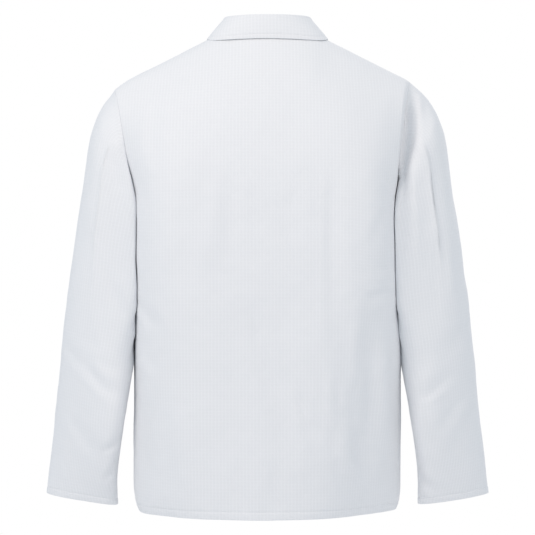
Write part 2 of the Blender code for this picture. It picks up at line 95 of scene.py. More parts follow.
# The body's form. Rows run from the shoulder seam (0) by the underarm (1) to the hem (2). "drop" is
# the share of the way down, "back" and "front" the depths at the centre, and the rest the powers
# that round a row off to its edge: "left" or "right" with "deep" or, on the right, "corner" at the
# back, and "plain" with "deep" at the front.
UNDERARM = -0.250
HEM = -0.6992
SHOULDER_FALL = 0.50
SHOULDER_START = 0.0945
NECK_ROUNDING = 0.075
TIP_START = 0.200
TIP_FALL = 6.0
SPREAD_ROW = 0.9
TORSO = Table(
    "row  drop   back    front   left right deep corner plain",
    (0.00, 0.0000, 0.0000, 0.0000, 2.0, 2.0, 1.0, 1.0, 2.0),
    (0.01, 0.0006, 0.0062, 0.0062, 2.0, 2.0, 1.0, 1.0, 2.0),
    (0.03, 0.0075, 0.0180, 0.0180, 2.0, 2.0, 1.0, 1.0, 2.0),
    (0.10, 0.040, 0.0350, 0.0330, 2.1, 2.1, 1.0, 1.0, 2.1),
    (0.20, 0.105, 0.0510, 0.0460, 2.3, 2.3, 1.0, 1.0, 2.2),
    (0.32, 0.210, 0.0730, 0.0620, 2.8, 2.8, 1.1, 1.1, 2.3),
    (0.47, 0.360, 0.0970, 0.0800, 3.7, 3.6, 1.2, 1.2, 2.4),
    (0.63, 0.550, 0.1150, 0.1030, 5.2, 4.8, 1.4, 1.4, 2.4),
    (0.80, 0.760, 0.1275, 0.1200, 6.5, 6.0, 1.7, 1.7, 2.4),
    (0.92, 0.910, 0.1320, 0.1265, 7.0, 6.8, 2.1, 2.1, 2.4),
    (1.00, 1.000, 0.1335, 0.1280, 7.0, 7.0, 2.3, 2.3, 2.4),
    (1.20, 1.150, 0.1355, 0.1300, 6.4, 6.2, 2.2, 2.2, 2.3),
    (1.50, 1.450, 0.1365, 0.1310, 4.0, 3.6, 2.1, 2.0, 2.2),
    (2.00, 2.000, 0.1415, 0.1325, 2.1, 1.8, 2.1, 1.5, 2.1),
)

ROUNDING = {
    (1, "back"): ("left", "deep"),
    (-1, "back"): ("right", "corner"),
    (1, "front"): ("plain", "deep"),
    (-1, "front"): ("plain", "deep"),
}

# The edge of a panel: the armhole down to the underarm, and the side seam below it. The back rolls
# over the right armhole by "roll".
EDGE = Table(
    "row  left    right   roll",
    (0.00, 0.2280, 0.2125, 0.000),
    (0.03, 0.2279, 0.2124, 0.002),
    (0.10, 0.2268, 0.2112, 0.007),
    (0.20, 0.2235, 0.2085, 0.012),
    (0.32, 0.2195, 0.2050, 0.016),
    (0.47, 0.2145, 0.2010, 0.018),
    (0.63, 0.2085, 0.1970, 0.019),
    (0.80, 0.2025, 0.1930, 0.016),
    (0.92, 0.2000, 0.1915, 0.008),
    (1.00, 0.1995, 0.1915, 0.000),
    (1.20, 0.1997, 0.1935, 0.000),
    (1.50, 0.1998, 0.1980, 0.000),
    (1.75, 0.2000, 0.1995, 0.000),
    (1.93, 0.1998, 0.1993, 0.000),
    (1.97, 0.1978, 0.1975, 0.000),
    (2.00, 0.1930, 0.1925, 0.000),
)
ARMHOLE_WIDEST = -0.175
ARMHOLE_REACH = {"back": 0.066, "front": 0.064}
ARMHOLE_ROUND = 2.2
MOST_OPEN = 0.96
ROLL_START = 0.982
LOWER_ARMHOLE = -0.205

# Large soft folds of the body: where each starts at its "top" level, how far it leans from there to
# its "bottom" level, its half width, and how deep it is.
BACK_FOLDS = Table(
    "across  top    bottom lean    width  deep",
    (-0.205, -0.52, -0.760, 0.000, 0.045, 0.0200),
    (-0.113, -0.36, -0.699, -0.026, 0.024, 0.0070),
    (-0.030, -0.30, -0.620, 0.010, 0.026, 0.0035),
    (0.045, -0.34, -0.699, 0.015, 0.034, 0.0030),
    (0.165, -0.45, -0.699, -0.012, 0.020, 0.0050),
)
FRONT_FOLDS = Table(
    "across  top    bottom lean    width  deep",
    (-0.140, -0.38, -0.699, 0.015, 0.026, 0.0065),
    (-0.080, -0.16, -0.600, -0.010, 0.026, 0.0040),
    (0.075, -0.20, -0.699, 0.012, 0.026, 0.0045),
    (0.135, -0.36, -0.699, -0.015, 0.026, 0.0070),
)
FOLD_GROWTH = 1.6
FOLD_FADE = 10

# The neckline and the lap of the fronts
NECK_HALF_WIDTH = 0.076
NECK_DIP = {"back": 0.19, "front": 0.455}
NECK_SHARE = 6 / 13
BAND_PLACE = 0.075
FAN_PLACE = 0.2
LAP = 0.020
LAP_COVER = 0.045
LAP_EASE = 0.020
LAP_STEP = 0.0020

# The collar's fold and the lower edge of its fall
FOLD_HALF_WIDTH = 0.0655
FOLD_BACK = 0.0475
FOLD_FRONT = 0.0735
FOLD_LEVEL = 0.0325
FOLD_DROP = 0.079
FOLD_DROP_TURN = 62
FOLD_DROP_POWER = 1.25
FALL_HALF_WIDTH = 0.0895
FALL_BACK_DIP = 0.2015
POINT_HALF_WIDTH = 0.040
POINT_SWEEP = 1.7
POINT_DIP = 0.60
POINT_DIP_POWER = 1.1
FALL_LIFT = {"back": 0.0022, "side": 0.0020, "point": 0.0040}
FALL_LIFT_TURNS = 5
ROLL_RADIUS = 0.0020

# The sleeve's rings below the armhole: how far each would press into the body's side if it were
# free, the level of its inner side, where its outer side lies, how far back its middle lies, its half
# depth from front to back, how much farther back than the middle its inner side lies, and the
# power that rounds that side.
SLEEVE = Table(
    "ring  press    in_z     out_x   out_z    middle   reach   lean    round",
    (1.0, 0.0055, -0.2530, 0.2345, -0.0800, -0.0016, 0.0680, 0.0050, 4.0),
    (2.0, 0.0085, -0.2585, 0.2440, -0.0915, -0.0039, 0.0710, 0.0090, 6.0),
    (3.0, 0.0100, -0.2660, 0.2530, -0.1060, -0.0075, 0.0740, 0.0110, 9.0),
    (4.0, 0.0108, -0.2750, 0.2605, -0.1240, -0.0116, 0.0770, 0.0120, 11.0),
    (5.0, 0.0115, -0.2860, 0.2668, -0.1470, -0.0146, 0.0800, 0.0120, 12.0),
    (6.0, 0.0120, -0.3010, 0.2717, -0.1780, -0.0176, 0.0825, 0.0120, 12.0),
    (7.0, 0.0122, -0.3220, 0.2778, -0.2200, -0.0198, 0.0830, 0.0130, 12.0),
    (8.0, 0.0122, -0.3520, 0.2868, -0.2750, -0.0225, 0.0815, 0.0160, 12.0),
    (9.0, 0.0120, -0.3920, 0.2967, -0.3450, -0.0252, 0.0790, 0.0240, 7.0),
    (10.0, 0.0098, -0.4340, 0.3057, -0.4120, -0.0300, 0.0755, 0.0410, 3.0),
    (11.0, 0.0030, -0.4760, 0.3122, -0.4660, -0.0366, 0.0720, 0.0640, 2.0),
    (12.0, -0.0042, -0.5180, 0.3168, -0.5120, -0.0420, 0.0680, 0.0820, 1.9),
    (13.0, -0.0112, -0.5620, 0.3213, -0.5560, -0.0448, 0.0630, 0.0880, 2.0),
    (14.0, -0.0180, -0.6060, 0.3263, -0.5980, -0.0439, 0.0570, 0.0770, 2.1),
    (15.0, -0.0238, -0.6500, 0.3310, -0.6400, -0.0417, 0.0490, 0.0600, 2.2),
    (16.0, -0.0284, -0.6915, 0.3345, -0.6785, -0.0399, 0.0400, 0.0450, 2.2),
)
OUTER_ROUND = 2.3
SLEEVE_LEAN = {1: 1.0, -1: 0.8}
RIGHT_EASE = 0.002
SLEEVE_CLEARANCE = 0.0006
SLEEVE_SPAN = 0.002
CAP_RINGS = 4.0

# Buttons down the centre of the left front
BUTTONS = 5
FIRST_BUTTON = -0.092
BUTTON_STEP = 0.124

# Creases, each a soft trough from one point of a face to another: where it starts and ends, how far
# it bows to its left, its half width, how deep it is (a ridge is negative), and how much steeper its
# left side is. Those of the sleeves are written for the wearer's left one and the right one apart.
BACK_CREASES = Table(
    "x0     z0      x1      z1      bow     half    deep     lean",
    (-0.150, -0.395, -0.158, -0.650, 0.003, 0.020, 0.0062, 0.3),
    (-0.122, -0.500, -0.146, -0.640, 0.002, 0.014, 0.0030, 0.3),
    (-0.093, -0.180, -0.099, -0.470, 0.004, 0.010, 0.0022, 0.3),
    (-0.058, -0.200, -0.062, -0.360, 0.003, 0.014, -0.0012, 0.0),
    (0.052, -0.190, 0.058, -0.330, -0.004, 0.012, 0.0014, -0.2),
    (0.072, -0.210, 0.080, -0.360, 0.002, 0.013, -0.0012, 0.0),
    (0.121, -0.225, 0.116, -0.380, 0.003, 0.013, 0.0014, 0.0),
    (0.022, -0.395, -0.024, -0.540, 0.006, 0.015, 0.0020, 0.2),
    (-0.042, -0.505, -0.076, -0.610, 0.004, 0.009, 0.0024, 0.4),
    (-0.088, -0.490, -0.096, -0.585, 0.002, 0.008, -0.0017, 0.0),
    (-0.100, -0.560, -0.136, -0.672, 0.003, 0.009, -0.0022, 0.0),
    (-0.122, -0.560, -0.160, -0.690, 0.004, 0.008, 0.0022, 0.3),
    (-0.150, -0.490, -0.152, -0.600, 0.000, 0.011, 0.0027, 0.2),
    (-0.171, -0.430, -0.174, -0.620, 0.002, 0.009, -0.0036, 0.0),
    (-0.186, -0.372, -0.140, -0.384, 0.002, 0.006, 0.0020, 0.3),
    (-0.186, -0.350, -0.150, -0.352, -0.002, 0.007, -0.0010, 0.0),
    (-0.176, -0.250, -0.150, -0.320, 0.004, 0.008, 0.0012, 0.0),
    (0.190, -0.385, 0.158, -0.430, 0.002, 0.007, 0.0017, 0.3),
    (0.188, -0.470, 0.165, -0.500, 0.002, 0.008, -0.0012, 0.0),
    (0.178, -0.530, 0.176, -0.690, 0.003, 0.010, 0.0026, 0.2),
    (0.120, -0.560, 0.128, -0.690, 0.002, 0.015, -0.0012, 0.0),
    (0.040, -0.610, 0.036, -0.699, 0.001, 0.012, 0.0012, 0.0),
    (-0.010, -0.620, -0.016, -0.699, 0.002, 0.012, 0.0014, 0.0),
    (0.164, -0.100, 0.158, -0.215, 0.003, 0.010, 0.0012, 0.0),
    (0.098, -0.120, 0.060, -0.190, 0.006, 0.016, 0.0012, 0.0),
    (0.110, -0.050, 0.180, -0.075, -0.003, 0.008, 0.0007, 0.0),
)
FRONT_CREASES = Table(
    "x0     z0      x1      z1      bow     half    deep     lean",
    (-0.170, -0.120, -0.120, -0.210, 0.006, 0.012, 0.0012, 0.2),
    (0.165, -0.120, 0.105, -0.230, -0.006, 0.013, 0.0013, -0.2),
    (-0.185, -0.300, -0.130, -0.360, 0.004, 0.009, 0.0013, 0.3),
    (0.188, -0.330, 0.130, -0.400, -0.004, 0.009, 0.0013, 0.3),
    (-0.080, -0.300, -0.095, -0.480, 0.004, 0.012, 0.0011, 0.0),
    (0.088, -0.260, 0.078, -0.430, -0.004, 0.012, 0.0011, 0.0),
    (-0.110, -0.500, -0.125, -0.690, 0.003, 0.012, 0.0014, 0.2),
    (0.112, -0.480, 0.130, -0.690, 0.003, 0.012, 0.0014, 0.2),
    (-0.065, -0.560, -0.068, -0.695, 0.002, 0.010, 0.0009, 0.0),
    (0.060, -0.600, 0.064, -0.695, 0.002, 0.010, 0.0009, 0.0),
    (-0.175, -0.520, -0.170, -0.690, 0.003, 0.010, 0.0012, 0.2),
    (0.176, -0.540, 0.170, -0.690, 0.003, 0.010, 0.0012, 0.2),
)
LEFT_SLEEVE_BACK = Table(
    "x0     z0      x1      z1      bow     half    deep     lean",
    (0.268, -0.488, 0.213, -0.530, 0.004, 0.008, 0.0017, 0.2),
    (0.262, -0.474, 0.215, -0.508, 0.003, 0.008, -0.0008, 0.0),
    (0.303, -0.452, 0.246, -0.500, 0.004, 0.009, 0.0015, 0.2),
    (0.292, -0.560, 0.240, -0.625, 0.004, 0.009, 0.0015, 0.2),
    (0.242, -0.612, 0.212, -0.584, 0.002, 0.005, 0.0018, 0.2),
    (0.240, -0.655, 0.213, -0.612, 0.002, 0.005, 0.0018, 0.2),
    (0.232, -0.345, 0.203, -0.425, 0.003, 0.008, 0.0018, 0.0),
    (0.249, -0.130, 0.250, -0.330, 0.002, 0.012, -0.0014, 0.0),
    (0.272, -0.250, 0.284, -0.430, 0.002, 0.014, 0.0010, 0.0),
    (0.315, -0.560, 0.322, -0.660, 0.001, 0.010, 0.0009, 0.0),
)
RIGHT_SLEEVE_BACK = Table(
    "x0     z0      x1      z1      bow     half    deep     lean",
    (-0.212, -0.140, -0.228, -0.400, 0.003, 0.012, -0.0021, 0.0),
    (-0.248, -0.160, -0.250, -0.285, 0.002, 0.009, 0.0015, 0.0),
    (-0.256, -0.270, -0.258, -0.395, 0.002, 0.009, 0.0016, 0.0),
    (-0.281, -0.300, -0.293, -0.405, 0.002, 0.009, 0.0016, 0.0),
    (-0.225, -0.534, -0.272, -0.492, 0.003, 0.008, 0.0021, 0.3),
    (-0.228, -0.555, -0.249, -0.618, 0.002, 0.008, 0.0019, 0.2),
    (-0.308, -0.530, -0.258, -0.608, 0.003, 0.009, -0.0019, 0.0),
    (-0.214, -0.600, -0.231, -0.678, 0.002, 0.006, 0.0019, 0.2),
    (-0.216, -0.642, -0.256, -0.672, 0.004, 0.006, 0.0016, 0.2),
    (-0.300, -0.420, -0.270, -0.470, 0.003, 0.010, 0.0012, 0.0),
)

# The right sleeve sinks in beside the body's edge.
ARMHOLE_TROUGHS = Table(
    "x0     z0      x1      z1      bow     half    deep     lean",
    (-0.211, -0.076, -0.202, -0.190, 0.001, 0.010, 0.0130, 0.0),
    (-0.199, -0.150, -0.196, -0.340, 0.001, 0.010, 0.0070, 0.0),
)


FRONT_DEPTH_SHARE = 0.6


def mirrored(creases):
    """The same creases on the other side and shallower, for a sleeve's hidden front."""
    names = " ".join(creases.columns)
    flips = np.array((-1, 1, -1, 1, -1, 1, FRONT_DEPTH_SHARE, 1))
    return Table(names, *(creases.rows * flips))


SLEEVE_CREASES = {
    1: {"back": LEFT_SLEEVE_BACK, "front": mirrored(RIGHT_SLEEVE_BACK)},
    -1: {"back": RIGHT_SLEEVE_BACK, "front": mirrored(LEFT_SLEEVE_BACK)},
}

# The cloth wall of the jacket's solids, the collar's strip, how far the collar stops short of the
# front's centre, and the gap at a finished seam
WALL = 0.0015
STRIP = 0.0015
COLLAR_END = 0.0025
SEAM_GAP = 0.00006

# How finely a row is searched for, and how finely curves are sampled before they are divided evenly
ROW_HALVINGS = 24
ARMHOLE_SAMPLES = 481
SKIRT_SAMPLES = 801
NECK_SAMPLES = 721
RING_SAMPLES = 1441
QUARTER_RING = 360
NORMAL_STEP = 0.004

# The rough lengths along the cloth that set how many cells a piece has
ARMHOLE_LENGTH = 0.21
HALF_BACK_WIDTH = 0.285
SLEEVE_LENGTH = 0.56

# How far from its seams a piece reaches its full creases and unevenness
PANEL_FADE = 0.016
SLEEVE_FADE = 0.004

# Seeds of the random draws. A side of 1 or -1 is added for the fronts' hems, sleeves and cuffs.
SEEDS = {
    "back": 11, "back_hem": 21, "front": 31, "front_hem": 22, "sleeve": 41, "cuff": 51, "collar": 61,
}


# --- The body's and the collar's form ----------------------------------------------------------


def smooth(t):
    """Ease from 0 to 1."""
    t = np.clip(t, 0, 1)
    return t * t * (3 - 2 * t)


def unit(vectors):
    return vectors / np.maximum(np.linalg.norm(vectors, axis=-1, keepdims=True), 1e-12)


def ridge_level(x):
    """The shoulder line: straight from the collar to the tip, where it starts to round over."""
    x = np.abs(x)
    run = np.where(x > NECK_ROUNDING, x, NECK_ROUNDING / 2 + x * x / (2 * NECK_ROUNDING))
    return SHOULDER_FALL * (SHOULDER_START - run) - TIP_FALL * np.maximum(0, x - TIP_START) ** 2


def level(x, row):
    """The height of the body's surface at x on a row."""
    drop = TORSO.read(row, "drop")
    upper = np.minimum(drop, 1.0)
    lower = np.maximum(drop - 1.0, 0.0)
    return ridge_level(x) * (1 - upper) + UNDERARM * upper + (HEM - UNDERARM) * lower


def row_at(x, z):
    """The row on which the body's surface has the height z at x."""
    x, z = np.broadcast_arrays(np.asarray(x, float), np.asarray(z, float))
    low = np.zeros(x.shape)
    high = np.full(x.shape, 2.0)
    for _ in range(ROW_HALVINGS):
        middle = (low + high) / 2
        above = level(x, middle) > z
        low = np.where(above, middle, low)
        high = np.where(above, high, middle)
    return (low + high) / 2


def half_width(side, row):
    return EDGE.read(row, "left" if side > 0 else "right")


def armhole_reach(side, face, row):
    """How far behind or before the shoulder line the armhole's edge lies on a row."""
    top = ridge_level(half_width(side, 0))
    z = level(half_width(side, row), row)
    above = z > ARMHOLE_WIDEST
    span = np.where(above, top - ARMHOLE_WIDEST, ARMHOLE_WIDEST - UNDERARM)
    share = np.minimum(np.abs(z - ARMHOLE_WIDEST) / span, 1.0)
    power = np.where(above, 1 / ARMHOLE_ROUND, 1.0)
    reach = ARMHOLE_REACH[face] * (1 - share ** ARMHOLE_ROUND) ** power
    return np.where(row < 1, reach, 0.0)


def fold_depth(folds, x, z):
    """How deep the large folds press the surface in at a point."""
    depth = np.zeros(np.shape(x))
    for across, top, bottom, lean, width, deep in folds.rows:
        along = (top - z) / (top - bottom)
        middle = across + lean * np.clip(along, 0, 1)
        depth += deep * smooth(along * FOLD_GROWTH) * np.exp(-((x - middle) / width) ** 2)
    return depth


def body(side, face, share, row):
    """Points of the body: side +1 is the wearer's left, share runs 0 at the centre to 1."""
    share, row = np.broadcast_arrays(np.asarray(share, float), np.asarray(row, float))
    x = side * half_width(side, row) * share
    z = level(x, row)
    middle = TORSO.read(row, face)
    across, deep = (TORSO.read(row, name) for name in ROUNDING[side, face])
    reach = armhole_reach(side, face, row)
    open_share = np.minimum(reach / np.maximum(middle, 1e-6), MOST_OPEN)
    rounding = (1 - open_share ** deep) * np.abs(share) ** across
    y = middle * np.maximum(1 - rounding, 0.0) ** (1 / deep)
    if side < 0 and face == "back":
        y = y - EDGE.read(row, "roll") * smooth((share - ROLL_START) / (1 - ROLL_START))
    folds = BACK_FOLDS if face == "back" else FRONT_FOLDS
    y = y - fold_depth(folds, x, z) * (1 - np.abs(share) ** FOLD_FADE) + SEAM_GAP
    return np.stack((x, y if face == "back" else -y, z), axis=-1)


def body_out(side, face, share, row):
    """The way out of the body's surface at its points."""
    here = body(side, face, share, row)
    across = here - body(side, face, share - NORMAL_STEP, row)
    down = body(side, face, share, row + NORMAL_STEP) - here
    normal = unit(np.cross(across, down))
    facing = side * np.broadcast_to(share, here.shape[:-1]) * normal[..., 0] + normal[..., 2]
    facing = facing + normal[..., 1] * (1 if face == "back" else -1)
    return np.where(facing[..., None] > 0, normal, -normal)


def column_place(side, face, place, row):
    """The share and the body's row of a panel's column, which runs from its top edge to the hem.

    A front's columns start out upright beside its band, and fan out to the shoulder from there.
    """
    tip = half_width(side, 0)
    low_share = np.sin(math.pi / 2 * place)
    neck_x = NECK_HALF_WIDTH * np.sin(np.minimum(place / NECK_SHARE, 1) * math.pi / 2)
    top_x = neck_x + (tip - NECK_HALF_WIDTH) * np.maximum(place - NECK_SHARE, 0) / (1 - NECK_SHARE)
    if face == "front":
        upright = 1 - smooth((place - BAND_PLACE) / FAN_PLACE)
        top_x = top_x + (low_share * tip - top_x) * upright
    start_row = NECK_DIP[face] * np.sqrt(np.maximum(1 - (top_x / NECK_HALF_WIDTH) ** 2, 0))
    share = top_x / tip + (low_share - top_x / tip) * smooth(row / SPREAD_ROW)
    return share, np.where(row < 1, start_row + (1 - start_row) * row, row)


def armhole_rows(count):
    """Rows that lie evenly along the armhole's edge, from the shoulder to the underarm."""
    fine = np.linspace(0, 1, ARMHOLE_SAMPLES)
    edge = np.stack((armhole_reach(1, "back", fine), level(half_width(1, fine), fine)), axis=-1)
    steps = np.linalg.norm(np.diff(edge, axis=0), axis=1)
    lengths = np.concatenate(([0], np.cumsum(steps)))
    return np.interp(np.linspace(0, lengths[-1], count + 1), lengths, fine)


def side_at(side, y, z):
    """How far out the body reaches at a depth and a height, from the lower armhole down."""
    row = row_at(half_width(side, 1), z)
    limits = []
    for face in ("back", "front"):
        middle = TORSO.read(row, face)
        across, deep = (TORSO.read(row, name) for name in ROUNDING[side, face])
        open_share = armhole_reach(side, face, row) / middle
        inner = (1 - np.minimum(np.abs(y) / middle, 1) ** deep) / (1 - open_share ** deep)
        limits.append(half_width(side, row) * np.minimum(inner, 1) ** (1 / across))
    return np.where(y > 0, limits[0], limits[1])


def fold_line(turn):
    """The collar's fold: a turn of 0 at the back's centre, and +-180 at the front's."""
    side = np.where(turn < 0, -1.0, 1.0)
    turn = np.abs(turn)
    angle = np.radians(turn)
    depth = np.where(turn <= 90, FOLD_BACK, FOLD_FRONT)
    late = smooth((turn - FOLD_DROP_TURN) / (180 - FOLD_DROP_TURN)) ** FOLD_DROP_POWER
    return np.stack(
        (side * FOLD_HALF_WIDTH * np.sin(angle), depth * np.cos(angle), FOLD_LEVEL - FOLD_DROP * late),
        axis=-1,
    )


def by_side(turn, points):
    """Points of both sides and faces around the neck, picked by the turn."""
    result = np.zeros(np.shape(turn) + (3,))
    for side in (1, -1):
        for face in ("back", "front"):
            on_side = (turn >= 0) if side > 0 else (turn < 0)
            on_face = (np.abs(turn) <= 90) if face == "back" else (np.abs(turn) > 90)
            chosen = on_side & on_face
            if chosen.any():
                result[chosen] = points(side, face, np.abs(turn[chosen]))
    return result


def neck_edge(turn):
    """The edge of the panels around the neck."""

    def at(side, face, turns):
        angle = np.radians(turns if face == "back" else 180 - turns)
        share = NECK_HALF_WIDTH * np.sin(angle) / half_width(side, 0)
        return body(side, face, share, NECK_DIP[face] * np.cos(angle))

    return by_side(turn, at)


def fall_edge(turn):
    """The lower edge of the collar's fall, taken from the body and moved out."""

    def at(side, face, turns):
        if face == "back":
            angle = np.radians(turns)
            across = FALL_HALF_WIDTH * np.sin(angle)
            row = FALL_BACK_DIP * np.cos(angle)
            lift = FALL_LIFT["back"] + (FALL_LIFT["side"] - FALL_LIFT["back"]) * np.sin(angle)
        else:
            along = (turns - 90) / 90
            across = FALL_HALF_WIDTH + (POINT_HALF_WIDTH - FALL_HALF_WIDTH) * along ** POINT_SWEEP
            row = POINT_DIP * np.sin(math.pi / 2 * along) ** POINT_DIP_POWER
            gain = np.minimum(FALL_LIFT_TURNS * along, 1)
            lift = FALL_LIFT["side"] + (FALL_LIFT["point"] - FALL_LIFT["side"]) * gain
        share = across / half_width(side, row)
        return body(side, face, share, row) + body_out(side, face, share, row) * lift[..., None]

    return by_side(turn, at)


# --- Cloth: creases, seams, hems and walls ------------------------------------------------------


def normals_of(grid):
    """The way out at each point of a grid of columns."""
    return unit(np.cross(np.gradient(grid, axis=1), np.gradient(grid, axis=0)))


def arc(points, axis):
    """The length run along each line of a grid."""
    steps = np.linalg.norm(np.diff(points, axis=axis), axis=-1)
    start = np.zeros_like(np.take(steps, [0], axis=axis))
    return np.concatenate((start, np.cumsum(steps, axis=axis)), axis=axis)


# A crease widens along its way, stands up in a low ridge on either side, and eases in and out from a
# little beyond its ends. Widths and the ridge's place are in its half widths, its ends in its lengths.
CREASE_FIRST_WIDTH = 0.75
CREASE_WIDENING = 0.5
RIDGE_HEIGHT = 0.4
RIDGE_PLACE = 1.9
RIDGE_WIDTH = 0.8
CREASE_BEYOND = 0.1
CREASE_EASE_IN = 0.4
CREASE_EASE_OUT = 0.5


def crease_depth(creases, grid):
    """How deep the creases press a grid's cloth in, on a face seen square on."""
    across, height = grid[..., 0], grid[..., 2]
    depth = np.zeros(across.shape)
    for x0, z0, x1, z1, bow, half, deep, lean in creases.rows:
        run = np.array((x1 - x0, z1 - z0))
        length = np.hypot(*run)
        run = run / length
        along = ((across - x0) * run[0] + (height - z0) * run[1]) / length
        beside = (height - z0) * run[0] - (across - x0) * run[1]
        inside = np.clip(along, 0, 1)
        width = half * (CREASE_FIRST_WIDTH + CREASE_WIDENING * inside)
        reach = (beside - bow * 4 * inside * (1 - inside)) / width
        reach = reach * (1 + lean * np.sign(reach))
        ridges = RIDGE_HEIGHT * np.exp(-((np.abs(reach) - RIDGE_PLACE) / RIDGE_WIDTH) ** 2)
        trough = np.exp(-reach ** 2) - ridges
        start = smooth((along + CREASE_BEYOND) / CREASE_EASE_IN)
        end = smooth((1 + CREASE_BEYOND - along) / CREASE_EASE_OUT)
        depth += deep * trough * start * end
    return depth


# The cloth's unevenness: the lengths of its waves, and how high the short ones are beside the long
RIPPLE_WAVES = 14
RIPPLE_SPREAD = (0.7, 1.6)
LONG_RIPPLE = 0.075
SHORT_RIPPLE = 0.024
SHORT_RIPPLE_SHARE = 0.3


def ripple(points, seed, scale):
    """A soft unevenness between about -1 and 1, a sum of waves whose lengths are near the scale."""
    draw = np.random.default_rng(seed)
    total = np.zeros(points.shape[:-1])
    for _ in range(RIPPLE_WAVES):
        way = unit(draw.normal(size=3)) * 2 * math.pi / (scale * draw.uniform(*RIPPLE_SPREAD))
        total += np.sin(points @ way + draw.uniform(0, 2 * math.pi))
    return total / math.sqrt(RIPPLE_WAVES)


def press(grid, depth, seed, cloth, fade):
    """Press a depth of creases and a soft unevenness into a grid, fading towards its seams."""
    depth = depth - cloth.unevenness * ripple(grid, seed, LONG_RIPPLE)
    depth = depth - cloth.unevenness * SHORT_RIPPLE_SHARE * ripple(grid, seed + 1, SHORT_RIPPLE)
    return grid - normals_of(grid) * (depth * fade)[..., None]


def seam_fade(grid, edges, reach):
    """0 at the given edges of a grid and 1 from a reach away from them."""
    fade = np.ones(grid.shape[:2])
    across = arc(grid, 0)
    if "first" in edges:
        fade *= smooth(across / reach)
    if "last" in edges:
        fade *= smooth((across[-1:] - across) / reach)
    if "top" in edges:
        fade *= smooth(arc(grid, 1) / reach)
    return fade


# A hem, in shares of the height from its edge (0) to its stitches (1): the rows laid through it, the
# nip at its stitches, the puckers near them, and where the cloth turned up inside it ends
HEM_SHARES = np.array((0.0, 0.12, 0.3, 0.5, 0.7, 0.85, 0.94, 1.0, 1.06, 1.15, 1.32, 1.6, 1.95))
HEM_STITCH_ROW = -8
HEM_EASE = 0.25
NIP_DEPTH = 0.9
HEM_NIP_WIDTH = 0.10
PUCKER_LENGTHS = (0.009, 0.0125, 0.017, 0.026)
PUCKER_HEIGHT = 0.35
PUCKER_PLACE = 0.95
PUCKER_WIDTH = 0.55
TURNED_UP_END = 1.12
TURNED_UP_EASE = 0.16


def raise_hem(grid, height, seed, cloth):
    """Raise a stitched hem along a grid's last row, nipped and a little puckered at its stitches.

    Gives the grid and the cloth's thickness: one layer above the hem and three in it.
    """
    up = arc(grid, 1)
    share = (up[:, -1:] - up) / height
    along = np.broadcast_to(arc(grid, 0)[:, -1:], share.shape)
    draw = np.random.default_rng(seed)
    waves = np.zeros(share.shape)
    for length in PUCKER_LENGTHS:
        phase, size = draw.uniform(0, 2 * math.pi), draw.uniform(0.5, 1)
        waves += size * np.sin(2 * math.pi * along / length + phase)
    puckers = np.exp(-((share - PUCKER_PLACE) / PUCKER_WIDTH) ** 2)
    relief = cloth.hem_rise * smooth((1.0 - share) / HEM_EASE)
    relief -= cloth.hem_rise * NIP_DEPTH * np.exp(-((share - 1) / HEM_NIP_WIDTH) ** 2)
    relief += cloth.hem_rise * PUCKER_HEIGHT * waves * puckers
    layers = smooth((TURNED_UP_END - share) / TURNED_UP_EASE)
    thickness = cloth.thickness + (cloth.hem_thickness - cloth.thickness) * layers
    return grid + normals_of(grid) * relief[..., None], thickness


def hem_line(grid):
    """The line of a hem's stitches, and the ways up from the cloth there."""
    return grid[:, HEM_STITCH_ROW], normals_of(grid)[:, HEM_STITCH_ROW]


LEAST_FACING = 0.1


def body_flat(grid, centre):
    """The flat cut of a body's panel: across from a centre column, and up from the hem.

    Its upright threads hang straight down, each in its own place across the body.
    """
    normals = normals_of(grid)
    facing = np.abs(normals[..., 1])
    thread = np.zeros(grid.shape)
    thread[..., 1] = np.sign(normals[..., 1]) * normals[..., 2]
    thread[..., 2] = -(facing + LEAST_FACING * (1 - facing))
    return cut_places(grid, unit(thread), centre)


def sleeve_flat(grid, centre):
    """The flat cut of a piece whose upright threads follow its columns."""
    return cut_places(grid, unit(np.gradient(grid, axis=1)), centre)


def cut_places(grid, thread, centre):
    """Each point's place across and up the flat cut, where the threads run upright."""
    steps = np.diff(grid, axis=1)
    up = np.sum(steps * (thread[:, 1:] + thread[:, :-1]) / 2, axis=-1)
    up = np.concatenate((np.zeros((len(grid), 1)), np.cumsum(up, axis=1)), axis=1)
    up = up[:, -1:] - up
    steps = np.diff(grid, axis=0)
    slid = np.sum(steps * (thread[1:] + thread[:-1]) / 2, axis=-1)
    steps = np.sqrt(np.maximum(np.sum(steps ** 2, axis=-1) - slid ** 2, 0.0))
    across = np.concatenate((np.zeros((1, grid.shape[1])), np.cumsum(steps, axis=0)))
    return np.stack((across - across[centre], up), axis=-1)


def stacked(grid, flat, thickness):
    """One array of each point's place, its place on the flat cut and the cloth's thickness."""
    thickness = np.broadcast_to(thickness, grid.shape[:2])[..., None]
    return np.concatenate((grid, flat, thickness), axis=-1)


TURN_STEPS = ((0.0, 0.0), (0.35, 0.0), (0.7, 0.0), (1.0, 0.0), (1.0, 0.4), (1.0, 1.0))


